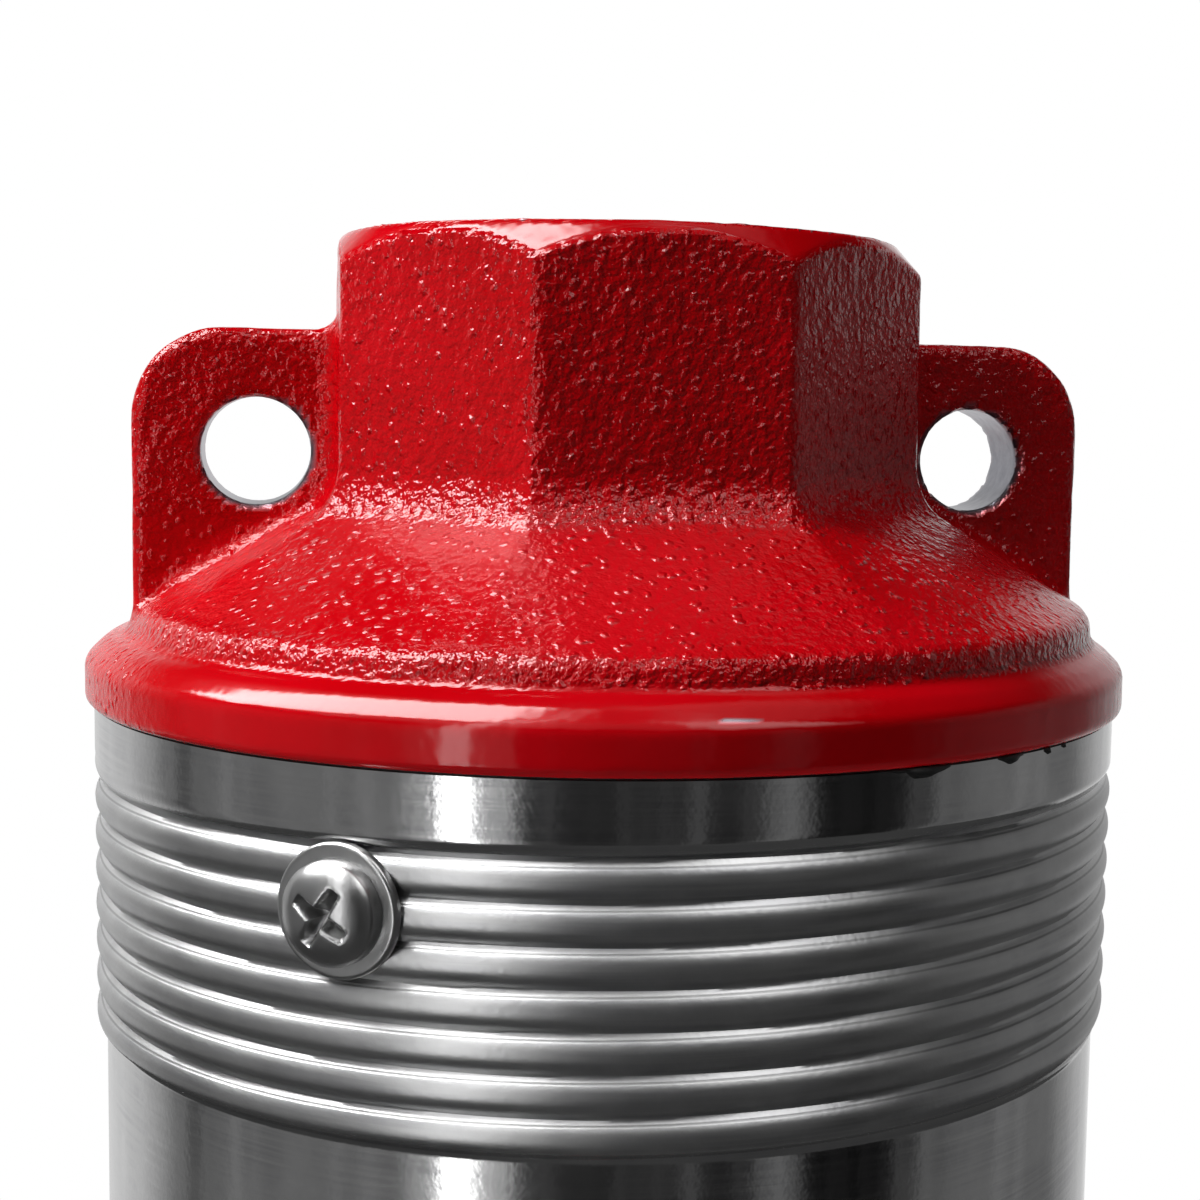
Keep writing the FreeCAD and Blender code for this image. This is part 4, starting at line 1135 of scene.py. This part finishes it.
def make_outlet_thread():
    """Female pipe thread in the outlet, with a lead-in at the top."""
    angles = np.arange(OUTLET_COLUMNS) * 2 * math.pi / OUTLET_COLUMNS
    top = head_height - OUTLET_LEAD
    low = head_height - OUTLET_DEPTH + OUTLET_FOOT
    wall = OUTLET_RADIUS + OUTLET_WALL
    rows = np.linspace(top, low, int((top - low) / OUTLET_PITCH * OUTLET_ROWS))
    radii = [wall]
    heights = [top]
    for height in rows:
        phase = (height / OUTLET_PITCH - angles / (2 * math.pi)) % 1.0
        tooth = np.clip(np.abs(phase - 0.5) * 2.6 - 0.15, 0, 1)
        fade = ramp(top - height, 0.0, OUTLET_FADES[0]) * ramp(height - low, 0.0, OUTLET_FADES[1])
        radii.append(OUTLET_RADIUS + 0.1 - OUTLET_TOOTH * tooth * fade)
        heights.append(height)
    radii.append(wall)
    heights.append(low)
    points, faces = ring_grid(radii, heights, OUTLET_COLUMNS, turned=True)
    thread = make_piece("outlet_thread", points, faces, joint)
    face_outwards(thread)
    smooth_by_angle(thread, 45)
    return finish_piece(thread, FINISHES["outlet"], "red_enamel")


# Floor, light and camera

def make_floor():
    """A pale round floor that keeps the shadow and runs out into the white behind it."""
    sheet = Finish("pale_floor")
    turns = np.arange(FLOOR_CORNERS) * 2 * math.pi / FLOOR_CORNERS
    rim = np.stack([np.cos(turns), np.sin(turns), np.zeros(FLOOR_CORNERS)], axis=1) * FLOOR_REACH
    floor = make_piece("floor", rim, [tuple(range(FLOOR_CORNERS))])
    camera_ray = sheet.node("ShaderNodeLightPath", output="Is Camera Ray")
    gloss_ray = sheet.node("ShaderNodeLightPath", output="Is Glossy Ray")
    away = sheet.node("ShaderNodeVectorMath", {"operation": "LENGTH"}, {0: sheet.place()}, output="Value")
    near, far = (share * FLOOR_REACH * MM for share in FLOOR_FADE)
    white = camera_ray * away.ramp(near, far, FLOOR_WHITE, 1.0) + gloss_ray
    plain = sheet.node("ShaderNodeBsdfDiffuse", {}, {"Color": FLOOR_GREY})
    glow = sheet.node("ShaderNodeEmission", {}, {"Strength": camera_ray + FLOOR_GLOSS})
    mixed = sheet.node("ShaderNodeMixShader", {}, {0: white, 1: plain, 2: glow})
    sheet.feed(sheet.tree.nodes["Material Output"].inputs["Surface"], mixed)
    floor.data.materials.append(sheet.material)


def make_world():
    """White to the camera, a studio with dark and bright sides to gloss, and a plain fill to the rest."""
    world = bpy.data.worlds.new("studio")
    bpy.context.scene.world = world
    sheet = Finish(world)
    facing = sheet.node("ShaderNodeTexCoord", output="Generated")
    x, y, z = (sheet.node("ShaderNodeSeparateXYZ", {}, {0: facing}, output=axis) for axis in "XYZ")
    bearing = sheet.maths("ARCTAN2", y, x)

    def lights(rows):
        """Brightness of some lights of the room at the bearing that is looked in."""
        total = 0
        for middle, half, edge, brightness in rows:
            off = sheet.maths("COSINE", bearing - (math.radians(middle) - PART_TURN))
            within = off.ramp(math.cos(math.radians(half + edge)), math.cos(math.radians(half)))
            total = total + within * brightness
        return total

    clutter = sheet.node(
        "ShaderNodeTexNoise",
        {"noise_dimensions": "1D"},
        {"W": bearing, "Scale": CLUTTER_SCALE, "Detail": 3.0},
    )
    walls = lights(WALLS) + (ROOM_DARK + clutter.ramp(0.45, 0.75) * CLUTTER_GLOSS)
    ceiling = z.between(CEILING_START, CEILING_END) * lights(CEILING)
    ceiling = ceiling + z.ramp(*HIGH_CEILING_START) * lights(HIGH_CEILING)
    over_x = x / z
    over_y = y / z
    along = over_x * math.cos(SOFTBOX_TURN) + over_y * math.sin(SOFTBOX_TURN)
    aside = over_x * math.sin(SOFTBOX_TURN) - over_y * math.cos(SOFTBOX_TURN)
    softbox = along.between(SOFTBOX_START, SOFTBOX_END) * aside.between(SOFTBOX_NEAR, SOFTBOX_FAR)
    softbox = softbox * z.ramp(*SOFTBOX_CLIMB) * SOFTBOX_GLOSS
    gloss = walls * (1 - z.ramp(*WALL_TOP)) + lights(WINDOW) + ceiling + softbox
    camera_ray = sheet.node("ShaderNodeLightPath", output="Is Camera Ray")
    gloss_ray = sheet.node("ShaderNodeLightPath", output="Is Glossy Ray")
    room = gloss_ray * gloss + (1 - gloss_ray) * WORLD_FILL
    background = sheet.tree.nodes["Background"].inputs
    sheet.feed(background["Strength"], camera_ray + (1 - camera_ray) * room)
    sheet.feed(background["Color"], WHITE)


def make_lamp(name, bearing, climb, distance, width, height, power):
    """A soft light on the head that no reflection shows, placed by degrees seen from the camera."""
    lamp = bpy.data.lights.new(name, "AREA")
    lamp.shape = "RECTANGLE"
    lamp.size = width * MM
    lamp.size_y = height * MM
    lamp.energy = power
    item = bpy.data.objects.new(name, lamp)
    bpy.context.scene.collection.objects.link(item)
    item.visible_glossy = False
    bearing = math.radians(bearing) - PART_TURN
    climb = math.radians(climb)
    level = math.cos(climb)
    away = Vector((math.cos(bearing) * level, math.sin(bearing) * level, math.sin(climb)))
    item.location = (Vector((0, 0, joint)) + away * distance) * MM
    item.rotation_euler = away.to_track_quat("Z", "Y").to_euler()


def make_camera():
    """The photograph's camera, turned into the part's own frame."""
    turn = Matrix.Rotation(-PART_TURN, 3, "Z")
    forward = Vector((
        math.sin(CAMERA_YAW) * math.cos(CAMERA_PITCH),
        math.cos(CAMERA_YAW) * math.cos(CAMERA_PITCH),
        math.sin(CAMERA_PITCH),
    ))
    right = Vector((math.cos(CAMERA_YAW), -math.sin(CAMERA_YAW), 0))
    up = right.cross(forward)
    rolled_right = right * math.cos(CAMERA_ROLL) + up * math.sin(CAMERA_ROLL)
    rolled_up = up * math.cos(CAMERA_ROLL) - right * math.sin(CAMERA_ROLL)
    facing = turn @ Matrix((rolled_right, rolled_up, -forward)).transposed()
    lens = bpy.data.cameras.new("camera")
    lens.sensor_width = SENSOR_WIDTH
    lens.lens = CAMERA_FOCAL / PHOTO_SIZE * lens.sensor_width
    lens.shift_x = (PHOTO_SIZE / 2 - CAMERA_CENTRE) / PHOTO_SIZE
    lens.clip_start = CLIP_START * MM
    camera = bpy.data.objects.new("camera", lens)
    bpy.context.scene.collection.objects.link(camera)
    place = turn @ Vector((0, -CAMERA_DISTANCE, 0))
    camera.location = Vector((place.x, place.y, joint + CAMERA_RISE)) * MM
    camera.rotation_euler = facing.to_euler()
    bpy.context.scene.camera = camera


make_head()
make_skirt()
make_tube()
make_all_screws()
make_sealant()
make_outlet_thread()
make_floor()
make_world()
for lamp_row in LAMPS:
    make_lamp(*lamp_row)
make_camera()
bpy.context.scene.view_settings.view_transform = "Standard"
